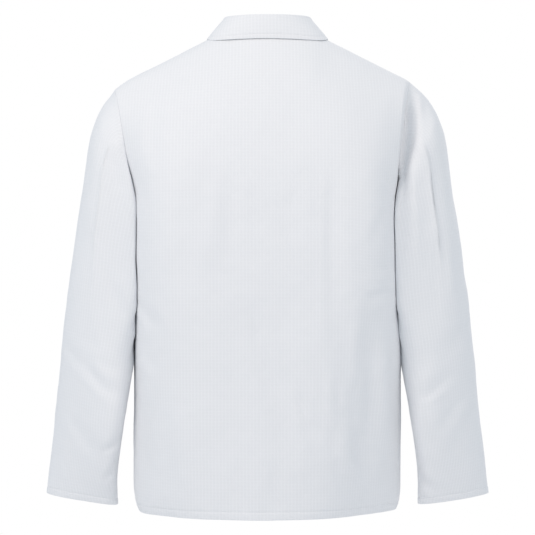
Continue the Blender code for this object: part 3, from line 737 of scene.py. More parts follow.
def turned(stack, edge, inward, cloth):
    """Turn an edge of a cut in at a seam: round a small radius, and on into a seam allowance."""
    if edge == "top":
        stack = np.swapaxes(stack, 0, 1)
    if edge != "last":
        stack = stack[::-1]
    line, beside = stack[-1], stack[-2]
    more = len(line) - len(inward)
    inward = np.pad(inward, ((more, 0), (0, 0)), mode="edge")
    out = unit(line[:, :3] - beside[:, :3])
    flat_out = unit(line[:, 3:5] - beside[:, 3:5])
    added = []
    for turn, deep in TURN_STEPS:
        step = line.copy()
        gone_in = cloth.seam_radius * turn ** 2 + cloth.seam_allowance * deep
        step[:, :3] += inward * gone_in - out * cloth.seam_radius * (1 - turn) ** 2
        step[:, 3:5] += flat_out * (gone_in - cloth.seam_radius * (1 - turn) ** 2)
        step[:, 5] = cloth.thickness
        added.append(step)
    stack = np.concatenate((stack[:-1], np.array(added)))
    if edge != "last":
        stack = stack[::-1]
    if edge == "top":
        stack = np.swapaxes(stack, 0, 1)
    return stack


RIM_STEPS = 3


def shell(name, stack):
    """A closed cloth piece: its outer side, its inner side, and round rims between the two."""
    grid = stack[..., :3]
    columns, rows = grid.shape[:2]
    count = columns * rows
    thickness = stack[..., 5:]
    normals = normals_of(grid)
    index = np.arange(count).reshape(columns, rows)
    around = np.concatenate((index[:, 0], index[-1, 1:], index[-2::-1, -1], index[0, -2:0:-1]))

    towards = np.zeros(grid.shape)
    towards[0] += unit(grid[0] - grid[1])
    towards[-1] += unit(grid[-1] - grid[-2])
    towards[:, 0] += unit(grid[:, 0] - grid[:, 1])
    towards[:, -1] += unit(grid[:, -1] - grid[:, -2])
    towards = unit(towards).reshape(-1, 3)[around]
    normal = normals.reshape(-1, 3)[around]
    half = thickness.reshape(-1, 1)[around] / 2
    middle = grid.reshape(-1, 3)[around] - normal * half
    points = [grid.reshape(-1, 3), (grid - normals * thickness).reshape(-1, 3)]
    loops = [around]
    for step in range(1, RIM_STEPS + 1):
        angle = math.pi * step / (RIM_STEPS + 1)
        points.append(middle + (normal * math.cos(angle) + towards * math.sin(angle)) * half)
        loops.append(2 * count + (step - 1) * len(around) + np.arange(len(around)))
    loops.append(around + count)

    left, right = index[:-1], index[1:]
    faces = np.stack((left[:, :-1], left[:, 1:], right[:, 1:], right[:, :-1]), axis=-1)
    faces = faces.reshape(-1, 4)
    faces = [faces, faces[:, ::-1] + count]
    for upper, lower in zip(loops[:-1], loops[1:]):
        faces.append(np.stack((upper, np.roll(upper, -1), np.roll(lower, -1), lower), axis=-1))

    mesh = bpy.data.meshes.new(name)
    mesh.from_pydata(np.concatenate(points).tolist(), [], np.concatenate(faces).tolist())
    flat = stack[..., 3:5].reshape(-1, 2)
    flat = np.concatenate((flat, flat) + (flat[around],) * RIM_STEPS)
    corners = np.zeros(len(mesh.loops), dtype=np.int32)
    mesh.loops.foreach_get("vertex_index", corners)
    layer = mesh.uv_layers.new(name="cut")
    layer.data.foreach_set("uv", flat[corners].astype(np.float32).ravel())
    mesh.shade_smooth()
    return placed(name, mesh, material_of("woven_check_cloth"))


def placed(name, mesh, material=None):
    """An object of a mesh, in the scene."""
    piece = bpy.data.objects.new(name, mesh)
    bpy.context.scene.collection.objects.link(piece)
    if material:
        piece.data.materials.append(material)
    return piece


def declare(piece):
    """Hide the solid that a cloth piece replaces, and hang the piece on the root body."""
    node = piece.name.replace("_cloth", "")
    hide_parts(node)
    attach(piece, "root")


# --- Materials ----------------------------------------------------------------------------------


class Value:
    """A number in a shader: it wraps a socket, so that sums on it are written as sums."""

    def __init__(self, nodes, socket):
        self.nodes = nodes
        self.socket = socket

    def math(self, operation, first, second=None):
        values = {0: first} if second is None else {0: first, 1: second}
        node = self.nodes.add("ShaderNodeMath", {"operation": operation}, values)
        return Value(self.nodes, node.outputs[0])

    def __add__(self, other):
        return self.math("ADD", self, other)

    def __radd__(self, other):
        return self.math("ADD", other, self)

    def __sub__(self, other):
        return self.math("SUBTRACT", self, other)

    def __mul__(self, other):
        return self.math("MULTIPLY", self, other)

    def cosine(self):
        return self.math("COSINE", self)

    def above(self, low, high):
        """0 below low and 1 above high, eased between them."""
        values = {"Value": self, "From Min": low, "From Max": high}
        node = self.nodes.add("ShaderNodeMapRange", {"interpolation_type": "SMOOTHSTEP"}, values)
        return Value(self.nodes, node.outputs["Result"])


class Nodes:
    """The nodes of one material, world or geometry tree."""

    def __init__(self, tree):
        self.tree = tree
        self.tree.nodes.clear()

    def add(self, kind, settings=(), values=()):
        """Add a node: its settings first, then the values or links of its sockets."""
        node = self.tree.nodes.new(kind)
        for name, value in dict(settings).items():
            setattr(node, name, value)
        for name, value in dict(values).items():
            socket = node.inputs[name]
            value = value.socket if isinstance(value, Value) else value
            if isinstance(value, bpy.types.NodeSocket):
                self.tree.links.new(value, socket)
            else:
                socket.default_value = value
        return node

    def value(self, node, output):
        return Value(self, node.outputs[output])

    def noise(self, scale, detail=2.0, roughness=0.5, distortion=0.0):
        """A noise on the object's own metres, about 0."""
        place = self.add("ShaderNodeTexCoord").outputs["Object"]
        values = {"Vector": place, "Scale": scale, "Detail": detail, "Roughness": roughness,
                  "Distortion": distortion}
        return self.value(self.add("ShaderNodeTexNoise", {}, values), "Fac") - 0.5

    def shades(self, factor, colour, darkest, lightest):
        """A colour that goes from a darker shade of it at 0 to a lighter one at 1."""
        low, high = ((*(channel * shade for channel in colour), 1.0) for shade in (darkest, lightest))
        node = self.add("ShaderNodeMix", {"data_type": "RGBA"}, {"Factor": factor, 6: low, 7: high})
        return node.outputs[2]

    def bump(self, height, strength):
        values = {"Height": height, "Strength": strength, "Distance": 1.0}
        return self.add("ShaderNodeBump", {}, values).outputs["Normal"]

    def surface(self, **values):
        values = {name.replace("_", " "): value for name, value in values.items()}
        shader = self.add("ShaderNodeBsdfPrincipled", {}, values)
        self.add("ShaderNodeOutputMaterial", {}, {"Surface": shader.outputs["BSDF"]})


# The woven check. Its lines show where a wave of its squares is high. The tones are shares between
# the cloth's darkest and lightest white, and the heights are in metres.
LINE_EDGES = (0.2, 0.95)
CLOUD_TONE = 0.25
FIBRE_TONE = 0.35
MIDDLE_TONE = 0.4
LINE_HEIGHT = 0.00006
WEFT_HEIGHT_SHARE = 0.7
WEAVE_HEIGHT = 0.000015
CLOUD_HEIGHT = 0.0005
FIBRE_HEIGHT = 0.00003


def weave_cloth(nodes, cloth):
    """White cloth with a fine woven check of the same white, on the flat cut's own metres."""
    place = nodes.add("ShaderNodeUVMap", {"uv_map": "cut"}).outputs["UV"]
    split = nodes.add("ShaderNodeSeparateXYZ", {}, {"Vector": place})
    across, up = nodes.value(split, "X"), nodes.value(split, "Y")
    turns = 2 * math.pi / cloth.check
    warp = (across * turns).cosine().above(*LINE_EDGES)
    weft = (up * turns).cosine().above(*LINE_EDGES)
    threads = 2 * math.pi / cloth.thread
    weave = (across * threads).cosine() * (up * threads).cosine()
    cloud = nodes.noise(scale=20.0, detail=3.0, roughness=0.55)
    fibre = nodes.noise(scale=1100.0, detail=2.0, roughness=0.6)
    tone = warp * cloth.warp_contrast + weft * cloth.weft_contrast
    tone = tone + cloud * CLOUD_TONE + fibre * FIBRE_TONE + MIDDLE_TONE
    height = (warp + weft * WEFT_HEIGHT_SHARE) * LINE_HEIGHT + weave * WEAVE_HEIGHT
    height = height + cloud * CLOUD_HEIGHT + fibre * FIBRE_HEIGHT
    nodes.surface(
        Base_Color=nodes.shades(tone, cloth.colour, darkest=0.96, lightest=1.04),
        Roughness=cloth.roughness, Specular_IOR_Level=0.2, Sheen_Weight=0.06, Sheen_Roughness=0.6,
        Normal=nodes.bump(height, strength=0.6),
    )


TWIST_HEIGHT = 0.00005
MOULD_HEIGHT = 0.00004
SCUFF_HEIGHT = 0.00001


def sewing_thread(nodes, stitching):
    """Sewing thread: white, with a fine twist and a soft gloss."""
    twist = nodes.noise(scale=3500.0)
    nodes.surface(
        Base_Color=nodes.shades(twist + 0.5, stitching.colour, darkest=0.93, lightest=1.05),
        Roughness=0.65, Normal=nodes.bump(twist * TWIST_HEIGHT, strength=0.5),
    )


def button_plastic(nodes, buttons):
    """Moulded white plastic, a little cloudy, and finely scuffed."""
    cloud = nodes.noise(scale=240.0, detail=3.0, roughness=0.5, distortion=0.7)
    scuff = nodes.noise(scale=2400.0, detail=2.0)
    nodes.surface(
        Base_Color=nodes.shades(cloud + 0.5, buttons.colour, darkest=0.92, lightest=1.05),
        Roughness=buttons.roughness + cloud * 0.1 + scuff * 0.08,
        Normal=nodes.bump(cloud * MOULD_HEIGHT + scuff * SCUFF_HEIGHT, strength=0.4),
    )


def pale_floor(nodes, stage):
    """A matt pale floor with a faint mottle."""
    cloud = nodes.noise(scale=3.0, detail=3.0)
    tint = nodes.shades(cloud + 0.5, stage.floor_colour, darkest=0.98, lightest=1.02)
    nodes.surface(Base_Color=tint, Roughness=0.8)


FINISHES = {
    "woven_check_cloth": (weave_cloth, "jacket_cloth"),
    "sewing_thread": (sewing_thread, "jacket_stitching"),
    "button_plastic": (button_plastic, "jacket_buttons"),
    "pale_floor": (pale_floor, "jacket_stage"),
}


def material_of(name):
    """The scene's one material of a name, made the first time it is asked for."""
    material = bpy.data.materials.get(name)
    if material is None:
        make, settings = FINISHES[name]
        material = bpy.data.materials.new(name)
        material.use_nodes = True
        make(Nodes(material.node_tree), getattr(bpy.context.scene, settings))
    return material


# --- Stitching ----------------------------------------------------------------------------------


# A stitch arches out of the cloth: its feet and its top, in halves of the thread's thickness
STITCH_FEET = -1.2
STITCH_TOP = 2.6
STITCH_INPUTS = {
    "Pitch": "NodeSocketFloat", "Length": "NodeSocketFloat", "Thread": "NodeSocketFloat",
    "Rise": "NodeSocketFloat", "Turn": "NodeSocketFloat", "Material": "NodeSocketMaterial",
}


def stitch_tree():
    """Geometry nodes that lay one small raised thread after another along a line."""
    tree = bpy.data.node_groups.get("Row of stitches")
    if tree:
        return tree
    tree = bpy.data.node_groups.new("Row of stitches", "GeometryNodeTree")
    tree.interface.new_socket("Geometry", in_out="INPUT", socket_type="NodeSocketGeometry")
    for name, kind in STITCH_INPUTS.items():
        tree.interface.new_socket(name, in_out="INPUT", socket_type=kind)
    tree.interface.new_socket("Geometry", in_out="OUTPUT", socket_type="NodeSocketGeometry")
    nodes = Nodes(tree)
    given = nodes.add("NodeGroupInput").outputs
    length, rise = Value(nodes, given["Length"]), Value(nodes, given["Rise"])

    def point(x, z):
        return nodes.add("ShaderNodeCombineXYZ", {}, {"X": x, "Z": z}).outputs[0]

    line = nodes.add("GeometryNodeMeshToCurve", {}, {"Mesh": given["Geometry"]})
    marks = nodes.add(
        "GeometryNodeResampleCurve", {"mode": "LENGTH"},
        {"Curve": line.outputs[0], "Length": given["Pitch"]},
    )
    arch = nodes.add(
        "GeometryNodeCurveQuadraticBezier", {},
        {"Resolution": 4, "Start": point(length * -0.5, rise * STITCH_FEET),
         "Middle": point(0.0, rise * STITCH_TOP), "End": point(length * 0.5, rise * STITCH_FEET)},
    )
    ring = nodes.add("GeometryNodeCurvePrimitiveCircle", {}, {"Resolution": 5, "Radius": given["Thread"]})
    thread = nodes.add(
        "GeometryNodeCurveToMesh", {},
        {"Curve": arch.outputs[0], "Profile Curve": ring.outputs[0], "Fill Caps": True},
    )
    up = nodes.add("GeometryNodeInputNamedAttribute", {"data_type": "FLOAT_VECTOR"}, {"Name": "up"})
    tangent = nodes.add("GeometryNodeInputTangent")
    along = nodes.add("FunctionNodeAlignRotationToVector", {"axis": "X"}, {"Vector": tangent.outputs[0]})
    upright = nodes.add(
        "FunctionNodeAlignRotationToVector", {"axis": "Z", "pivot_axis": "X"},
        {"Rotation": along.outputs[0], "Vector": up.outputs[0]},
    )
    turn = nodes.add("FunctionNodeAxisAngleToRotation", {}, {"Axis": (0, 0, 1), "Angle": given["Turn"]})
    turned_on = nodes.add(
        "FunctionNodeRotateRotation", {"rotation_space": "LOCAL"},
        {"Rotation": upright.outputs[0], "Rotate By": turn.outputs[0]},
    )
    laid = nodes.add(
        "GeometryNodeInstanceOnPoints", {},
        {"Points": marks.outputs[0], "Instance": thread.outputs[0], "Rotation": turned_on.outputs[0]},
    )
    real = nodes.add("GeometryNodeRealizeInstances", {}, {"Geometry": laid.outputs[0]})
    soft = nodes.add("GeometryNodeSetShadeSmooth", {}, {"Geometry": real.outputs[0]})
    done = nodes.add(
        "GeometryNodeSetMaterial", {}, {"Geometry": soft.outputs[0], "Material": given["Material"]},
    )
    nodes.add("NodeGroupOutput", {}, {"Geometry": done.outputs[0]})
    return tree


def sew(name, lines, stitching, pitch=None, length=None, thread=None, turn=0.0):
    """Sew rows of stitches along lines, each of them points and the ways up from the cloth there."""
    points, ups, edges = [], [], []
    for line, up in lines:
        first = len(points)
        points.extend(np.asarray(line).tolist())
        ups.extend(unit(np.asarray(up)).ravel().tolist())
        edges.extend((first + i, first + i + 1) for i in range(len(line) - 1))
    mesh = bpy.data.meshes.new(name + "_line")
    mesh.from_pydata(points, edges, [])
    mesh.attributes.new("up", "FLOAT_VECTOR", "POINT").data.foreach_set("vector", ups)
    guide = placed(name + "_line", mesh)
    modifier = guide.modifiers.new("stitches", "NODES")
    modifier.node_group = stitch_tree()
    values = {
        "Pitch": pitch or stitching.pitch, "Length": length or stitching.length,
        "Thread": thread or stitching.thread, "Rise": thread or stitching.thread, "Turn": turn,
        "Material": material_of("sewing_thread"),
    }
    for item in modifier.node_group.interface.items_tree:
        if item.in_out == "INPUT" and item.name in values:
            modifier[item.identifier] = values[item.name]
    evaluated = guide.evaluated_get(bpy.context.evaluated_depsgraph_get())
    made = bpy.data.meshes.new_from_object(evaluated)
    bpy.data.objects.remove(guide)
    made.name = name
    piece = placed(name, made)
    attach(piece, "root")
    return piece


# --- The body's panels --------------------------------------------------------------------------


def panel_rows(cloth):
    """The rows of a panel: evenly down the armhole, evenly down the skirt, and finer at the hem."""
    fine = np.linspace(1, 2, SKIRT_SAMPLES)
    drops = TORSO.read(fine, "drop")
    skirt = UNDERARM - HEM
    marks = HEM_SHARES * cloth.hem_height
    count = round((skirt - marks[-1]) / cloth.cell)
    even = 1 + np.arange(1, count + 1) / count * (1 - marks[-1] / skirt)
    hem = 2 - marks[-2::-1] / skirt
    lower = np.interp(np.concatenate((even, hem)), drops, fine)
    return np.concatenate((armhole_rows(round(ARMHOLE_LENGTH / cloth.cell)), lower))


def half_places(cloth):
    """The places of a panel's columns from its centre (0) to its edge (1), even on each side."""
    count = round(HALF_BACK_WIDTH / cloth.cell)
    neck = round(count * NECK_SHARE)
    shoulder = np.linspace(NECK_SHARE, 1, count - neck + 1)[1:]
    return np.concatenate((np.linspace(0, NECK_SHARE, neck + 1), shoulder))


def way_in(side, face, share, row):
    """The way that a panel's top edge turns in: square to the neckline, and down at the shoulder."""
    here = body_out(side, face, share, row)
    both = body_out(side, "back", share, row) + body_out(side, "front", share, row)
    return -unit(np.where((row > 0)[:, None], here, both))


SEAM_BLEND = 0.03


def seam_ways(side, face, rows):
    """The way in along a panel's armhole and its side seam, as on its neighbours."""
    _, inward, _ = armhole(side, rows)
    count = np.sum(rows <= 1)
    armhole_ways = inward[:count] if face == "back" else np.roll(inward[::-1], 1, axis=0)[:count]
    seam = np.array((-float(side), 0.0, 0.0))
    blend = smooth((rows[count:] - 1) / SEAM_BLEND)[:, None]
    lower = unit(armhole_ways[-1] * (1 - blend) + seam * blend)
    return np.concatenate((armhole_ways, lower))


def armhole(side, rows):
    """The armhole's loop from the shoulder tip down the back and up the front.

    Gives its points, the way in there that body and sleeve share, and the sleeve's rings below it.
    """
    rows = rows[rows <= 1]
    mirror = np.array((side, 1, 1))
    points, ways = [], []
    for face, order in (("back", rows), ("front", rows[::-1])):
        points.append(body(side, face, 1.0, order) * mirror)
        ways.append(body_out(side, face, 1.0, order) * mirror)
    points[0][-1] = (points[0][-1] + points[1][0]) / 2
    points[0][0] = (points[0][0] + points[1][-1]) / 2
    ways[0][-1] += ways[1][0]
    ways[0][0] += ways[1][-1]
    points = np.concatenate((points[0], points[1][1:-1]))
    ways = np.concatenate((ways[0], ways[1][1:-1]))

    rings = sleeve_rings(side, points)
    run = unit(np.roll(points, -1, axis=0) - np.roll(points, 1, axis=0))
    body_normal = unit(ways - run * np.sum(ways * run, axis=1, keepdims=True))
    on = rings[0] - points
    on = unit(on - run * np.sum(on * run, axis=1, keepdims=True))
    sleeve_normal = np.cross(on, run)
    valley = np.sign(np.sum(on * body_normal, axis=1, keepdims=True))
    inward = -unit(body_normal + sleeve_normal + valley * (np.cross(body_normal, run) + on))
    points = points + on * SEAM_GAP
    return points * mirror, inward * mirror, np.concatenate((points[None], rings)) * mirror


# Round a sleeve's ring: how soon its inner side takes over, how close its points lie there, and how
# its lean grows towards that side
INNER_SHARPNESS = 1.5
ACROSS_SHARE = 0.5
LEAN_POWER = 1.5


def sleeve_rings(side, points):
    """The sleeve's rings, written as on the left side, from the armhole's own points."""
    count = len(points)
    fine = np.linspace(0, 2 * math.pi, RING_SAMPLES)

    def rounded(angles, inner_round):
        blend = smooth(0.5 - INNER_SHARPNESS * np.cos(angles))
        power = 2 / (OUTER_ROUND * (1 - blend) + inner_round * blend)
        across = np.sign(np.cos(angles)) * np.abs(np.cos(angles)) ** power
        return across, np.sign(np.sin(angles)) * np.abs(np.sin(angles)) ** power

    def ring_of(inner, outer, middle, reach, lean, inner_round):
        across, deep = rounded(fine, inner_round)
        run = arc(np.stack((ACROSS_SHARE * across, deep), axis=-1), 0)
        quarters = np.interp(run, run[::QUARTER_RING], fine[::QUARTER_RING])
        even = np.interp(fine[-1] * np.arange(count) / count, quarters, fine)
        across, deep = rounded(even, inner_round)
        ring = (inner + outer) / 2 + (outer - inner) / 2 * across[:, None]
        ring[:, 1] += middle + reach * deep + lean * ((1 - across) / 2) ** LEAN_POWER
        return ring

    plain = ring_of(points[count // 2], points[0], 0.0, ARMHOLE_REACH["back"], 0.0, OUTER_ROUND)
    rings = []
    for ring, press_in, in_z, out_x, out_z, middle, reach, lean, inner_round in SLEEVE.rows:
        in_x = half_width(side, row_at(half_width(side, 1), in_z)) - press_in
        in_x += RIGHT_EASE * (side < 0)
        lean = lean * SLEEVE_LEAN[side]
        inner = np.array((in_x, 0.0, in_z))
        outer = np.array((out_x, 0.0, out_z))
        likeness = 1 - smooth(ring / CAP_RINGS)
        made = ring_of(inner, outer, middle, reach, lean, inner_round)
        made += (points - plain) * likeness
        rings.append(clear_of_body(side, made, SLEEVE_CLEARANCE))
    return np.array(rings)


def clear_of_body(side, points, clearance):
    """Move points of a sleeve, written as on the left, out where they come too near the body."""
    offsets = np.array((-SLEEVE_SPAN, 0, SLEEVE_SPAN)).reshape((3,) + (1,) * (points.ndim - 1))
    y, z = points[..., 1], points[..., 2]
    limit = side_at(side, y + offsets, z + offsets * 0).max(axis=0) + clearance
    moved = points.copy()
    moved[..., 0] = np.where(z < LOWER_ARMHOLE, np.maximum(points[..., 0], limit), points[..., 0])
    return moved


def make_back(cloth, stitching):
    """The back, in one piece from side to side."""
    rows = panel_rows(cloth)
    places = half_places(cloth)
    halves = []
    tops = []
    for side in (1, -1):
        share, row = column_place(side, "back", places[:, None], rows[None, :])
        halves.append(body(side, "back", share, row))
        tops.append(way_in(side, "back", share[:, 0], row[:, 0]))
    grid = np.concatenate((halves[0][::-1], halves[1][1:]))
    top = np.concatenate((tops[0][::-1], tops[1][1:]))
    fade = seam_fade(grid, ("first", "last", "top"), PANEL_FADE)
    grid = press(grid, crease_depth(BACK_CREASES, grid), SEEDS["back"], cloth, fade)
    flat = body_flat(grid, len(places) - 1)
    grid, thickness = raise_hem(grid, cloth.hem_height, SEEDS["back_hem"], cloth)

    stack = turned(stacked(grid, flat, thickness), "top", top, cloth)
    stack = turned(stack, "first", seam_ways(1, "back", rows), cloth)
    stack = turned(stack, "last", seam_ways(-1, "back", rows), cloth)
    piece = shell("back_cloth", stack)
    stitches = sew("back_hem_stitches", [hem_line(grid)], stitching)
    declare(piece)


# A front's band, in metres from its edge: its columns, two rows of stitches and the centre line. The
# plain columns beside it start at a place of their own, and count as lying beyond it.
BAND_MARKS = np.array((
    0.0, 0.0007, 0.0018, 0.0033, 0.0048, 0.0056, 0.0060, 0.0064, 0.0073, 0.0092, 0.0120, 0.0150,
    0.0175, 0.0200, 0.0230, 0.0265, 0.0300, 0.0335, 0.0365, 0.0390, 0.0408, 0.0416, 0.0420, 0.0424,
    0.0435,
))
EDGE_STITCH = 6
CENTRE_MARK = 13
BAND_STITCH = 22
BAND_WIDTH = 0.0428
BAND_EASE = 0.003
BAND_NIP = 0.8
BAND_NIP_WIDTH = 0.0007
FIRST_PLACE = 0.088
BEYOND_BAND = 0.1


def in_band(distance):
    """1 in a front's double band and 0 beyond it."""
    return smooth((BAND_WIDTH - distance) / BAND_EASE)


def band_relief(distance, cloth):
    """How far a front's double band stands out, nipped at its two rows of stitches."""
    band = cloth.hem_rise * in_band(distance)
    for stitch in (BAND_MARKS[EDGE_STITCH], BAND_MARKS[BAND_STITCH]):
        band -= cloth.hem_rise * BAND_NIP * np.exp(-((distance - stitch) / BAND_NIP_WIDTH) ** 2)
    return band


def make_front(side, cloth, stitching):
    """A front with its double band. The right one steps in where the left one laps over it."""
    rows = panel_rows(cloth)
    places = half_places(cloth)
    places = places[places > FIRST_PLACE]
    share, row = column_place(side, "front", places[:, None], rows[None, :])
    outer = body(side, "front", share, row)
    outer_top = way_in(side, "front", share[:, 0], row[:, 0])
    band = []
    band_top = []
    for mark in BAND_MARKS:
        x = side * (mark - LAP)
        on_side = side if x * side >= 0 else -side
        start = NECK_DIP["front"] * math.sqrt(1 - (x / NECK_HALF_WIDTH) ** 2)
        row = np.where(rows < 1, start + (1 - start) * rows, rows)
        share = abs(x) / half_width(on_side, row)
        band.append(body(on_side, "front", share, row))
        band_top.append(way_in(on_side, "front", share[:1], row[:1])[0])
    grid = np.concatenate((band, outer))
    top = np.concatenate((band_top, outer_top))
    distance = np.concatenate((BAND_MARKS, np.full(len(places), BEYOND_BAND)))[:, None]
    if side < 0:
        grid, top, distance = grid[::-1], top[::-1], distance[::-1]

    seam = "last" if side > 0 else "first"
    fade = seam_fade(grid, (seam, "top"), PANEL_FADE)
    grid = press(grid, crease_depth(FRONT_CREASES, grid), SEEDS["front"], cloth, fade)
    normals = normals_of(grid)
    if side < 0:
        covered = smooth((LAP_COVER + grid[..., 0]) / LAP_EASE)
        grid = grid - normals * (LAP_STEP * covered)[..., None]
    flat = body_flat(grid, 0 if side > 0 else -1)
    grid = grid + normals * band_relief(distance, cloth)[..., None]
    grid, thickness = raise_hem(grid, cloth.hem_height, SEEDS["front_hem"] + side, cloth)
    band_layers = (cloth.band_thickness - cloth.thickness) * in_band(distance)
    thickness = np.maximum(thickness, cloth.thickness + band_layers)
    thickness = np.minimum(thickness, cloth.band_thickness)
    normals = normals_of(grid)
    lines = [hem_line(grid)]
    for mark in (EDGE_STITCH, BAND_STITCH):
        column = mark if side > 0 else -1 - mark
        lines.append((grid[column, 1:HEM_STITCH_ROW], normals[column, 1:HEM_STITCH_ROW]))

    stack = turned(stacked(grid, flat, thickness), "top", top, cloth)
    stack = turned(stack, seam, seam_ways(side, "front", rows), cloth)
    name = "front_left" if side > 0 else "front_right"
    piece = shell(name + "_cloth", stack)
    pieces = [sew(name + "_stitches", lines, stitching)]
    if side > 0:
        pieces += make_buttons(grid[CENTRE_MARK], normals[CENTRE_MARK], stitching)
    declare(piece)


# --- Sleeves ------------------------------------------------------------------------------------


def along_curve(points, marks):
    """Points at given lengths along a smooth curve through a few others."""
    run = arc(points, 0)
    slopes = np.gradient(points, run, axis=0)
    i = np.clip(np.searchsorted(run, marks) - 1, 0, len(run) - 2)
    step = (run[i + 1] - run[i])[:, None]
    return cubic(points, slopes, i, step, (marks - run[i])[:, None] / step)


# How far from the armhole a sleeve is eased clear of the body, and how its back's creases give way to
# its front's where the cloth faces sideways
CLEAR_REACH = 0.006
FACES_OVERLAP = 0.1
FACES_EASE = 0.5


def make_sleeve(side, cloth, stitching):
    """A set-in sleeve, sewn up along its inner side, with a stitched cuff hem."""
    mirror = np.array((side, 1, 1))
    points, inward, rings = armhole(side, panel_rows(cloth))
    half = len(points) // 2
    order = np.roll(np.arange(len(points)), half)
    order = np.append(order, order[0])
    if side < 0:
        order = order[::-1]
    marks = HEM_SHARES * cloth.cuff_height
    count = round(SLEEVE_LENGTH / cloth.cell)
    columns = []
    for i in order:
        length = arc(rings[:, i], 0)[-1]
        upper = np.linspace(0, length - marks[-1], count + 1)
        columns.append(along_curve(rings[:, i], np.concatenate((upper, length - marks[-2::-1]))))
    grid = np.array(columns)
    eased = grid * mirror
    near = np.minimum(arc(eased, 1) / CLEAR_REACH, 1)
    eased = eased + (clear_of_body(side, eased, SLEEVE_CLEARANCE) - eased) * near[..., None]
    grid = eased * mirror
    for end, beside in ((0, 1), (-1, -2)):
        grid[end] += unit(grid[beside] - grid[end]) * SEAM_GAP

    facing = normals_of(grid)[..., 1]
    creases = SLEEVE_CREASES[side]
    behind = smooth((facing + FACES_OVERLAP) / FACES_EASE)
    before = smooth((FACES_OVERLAP - facing) / FACES_EASE)
    depth = crease_depth(creases["back"], grid) * behind
    depth += crease_depth(creases["front"], grid) * before
    if side < 0:
        depth += crease_depth(ARMHOLE_TROUGHS, grid) * behind
    fade = seam_fade(grid, ("first", "last", "top"), SLEEVE_FADE)
    grid = press(grid, depth, SEEDS["sleeve"] + side, cloth, fade)
    flat = sleeve_flat(grid, half)
    grid, thickness = raise_hem(grid, cloth.cuff_height, SEEDS["cuff"] + side, cloth)

    middle = grid.mean(axis=0)
    seam = unit(middle - (grid[0] + grid[-1]) / 2)
    stack = turned(stacked(grid, flat, thickness), "top", inward[order], cloth)
    stack = turned(stack, "first", seam, cloth)
    stack = turned(stack, "last", seam, cloth)
    name = "sleeve_left" if side > 0 else "sleeve_right"
    piece = shell(name + "_cloth", stack)
    stitches = sew(name + "_hem_stitches", [hem_line(grid)], stitching)
    declare(piece)


# --- Collar -------------------------------------------------------------------------------------


# The collar: rows in from the fall's edge, its row of stitches, how its columns are spaced from its
# ends and between the fold and the edge, and the rows and the unevenness of its parts
FALL_MARKS = np.array((0.0, 0.0008, 0.0022, 0.0038, 0.0051, 0.0057, 0.0060, 0.0063, 0.0070, 0.0085))
FALL_STITCH = 6
END_SPREAD = 1.25
EVEN_START = 0.0135
FOLD_SHARE = 0.6
STAND_ROWS = 11
STAND_GAP = 0.0006
ROLL_ROWS = 9
END_STITCH_START = 12
FALL_ROWS = 12
FALL_NIP_WIDTH = 0.0008
FALL_RIPPLE = 0.05
FALL_RIPPLE_SHARE = 0.4


def collar_turns(cloth):
    """Turns around the neck from the right front to the left one, closer where the edge is long."""
    fine = np.linspace(-180, 180, NECK_SAMPLES)
    run = arc(fall_edge(fine), 0) + FOLD_SHARE * arc(fold_line(fine), 0)
    count = round(run[-1] / (1 + FOLD_SHARE) / cloth.cell)
    ends = FALL_MARKS * END_SPREAD
    even = np.linspace(EVEN_START, run[-1] - EVEN_START, count)
    return np.interp(np.concatenate((ends, even, run[-1] - ends[::-1])), run, fine)


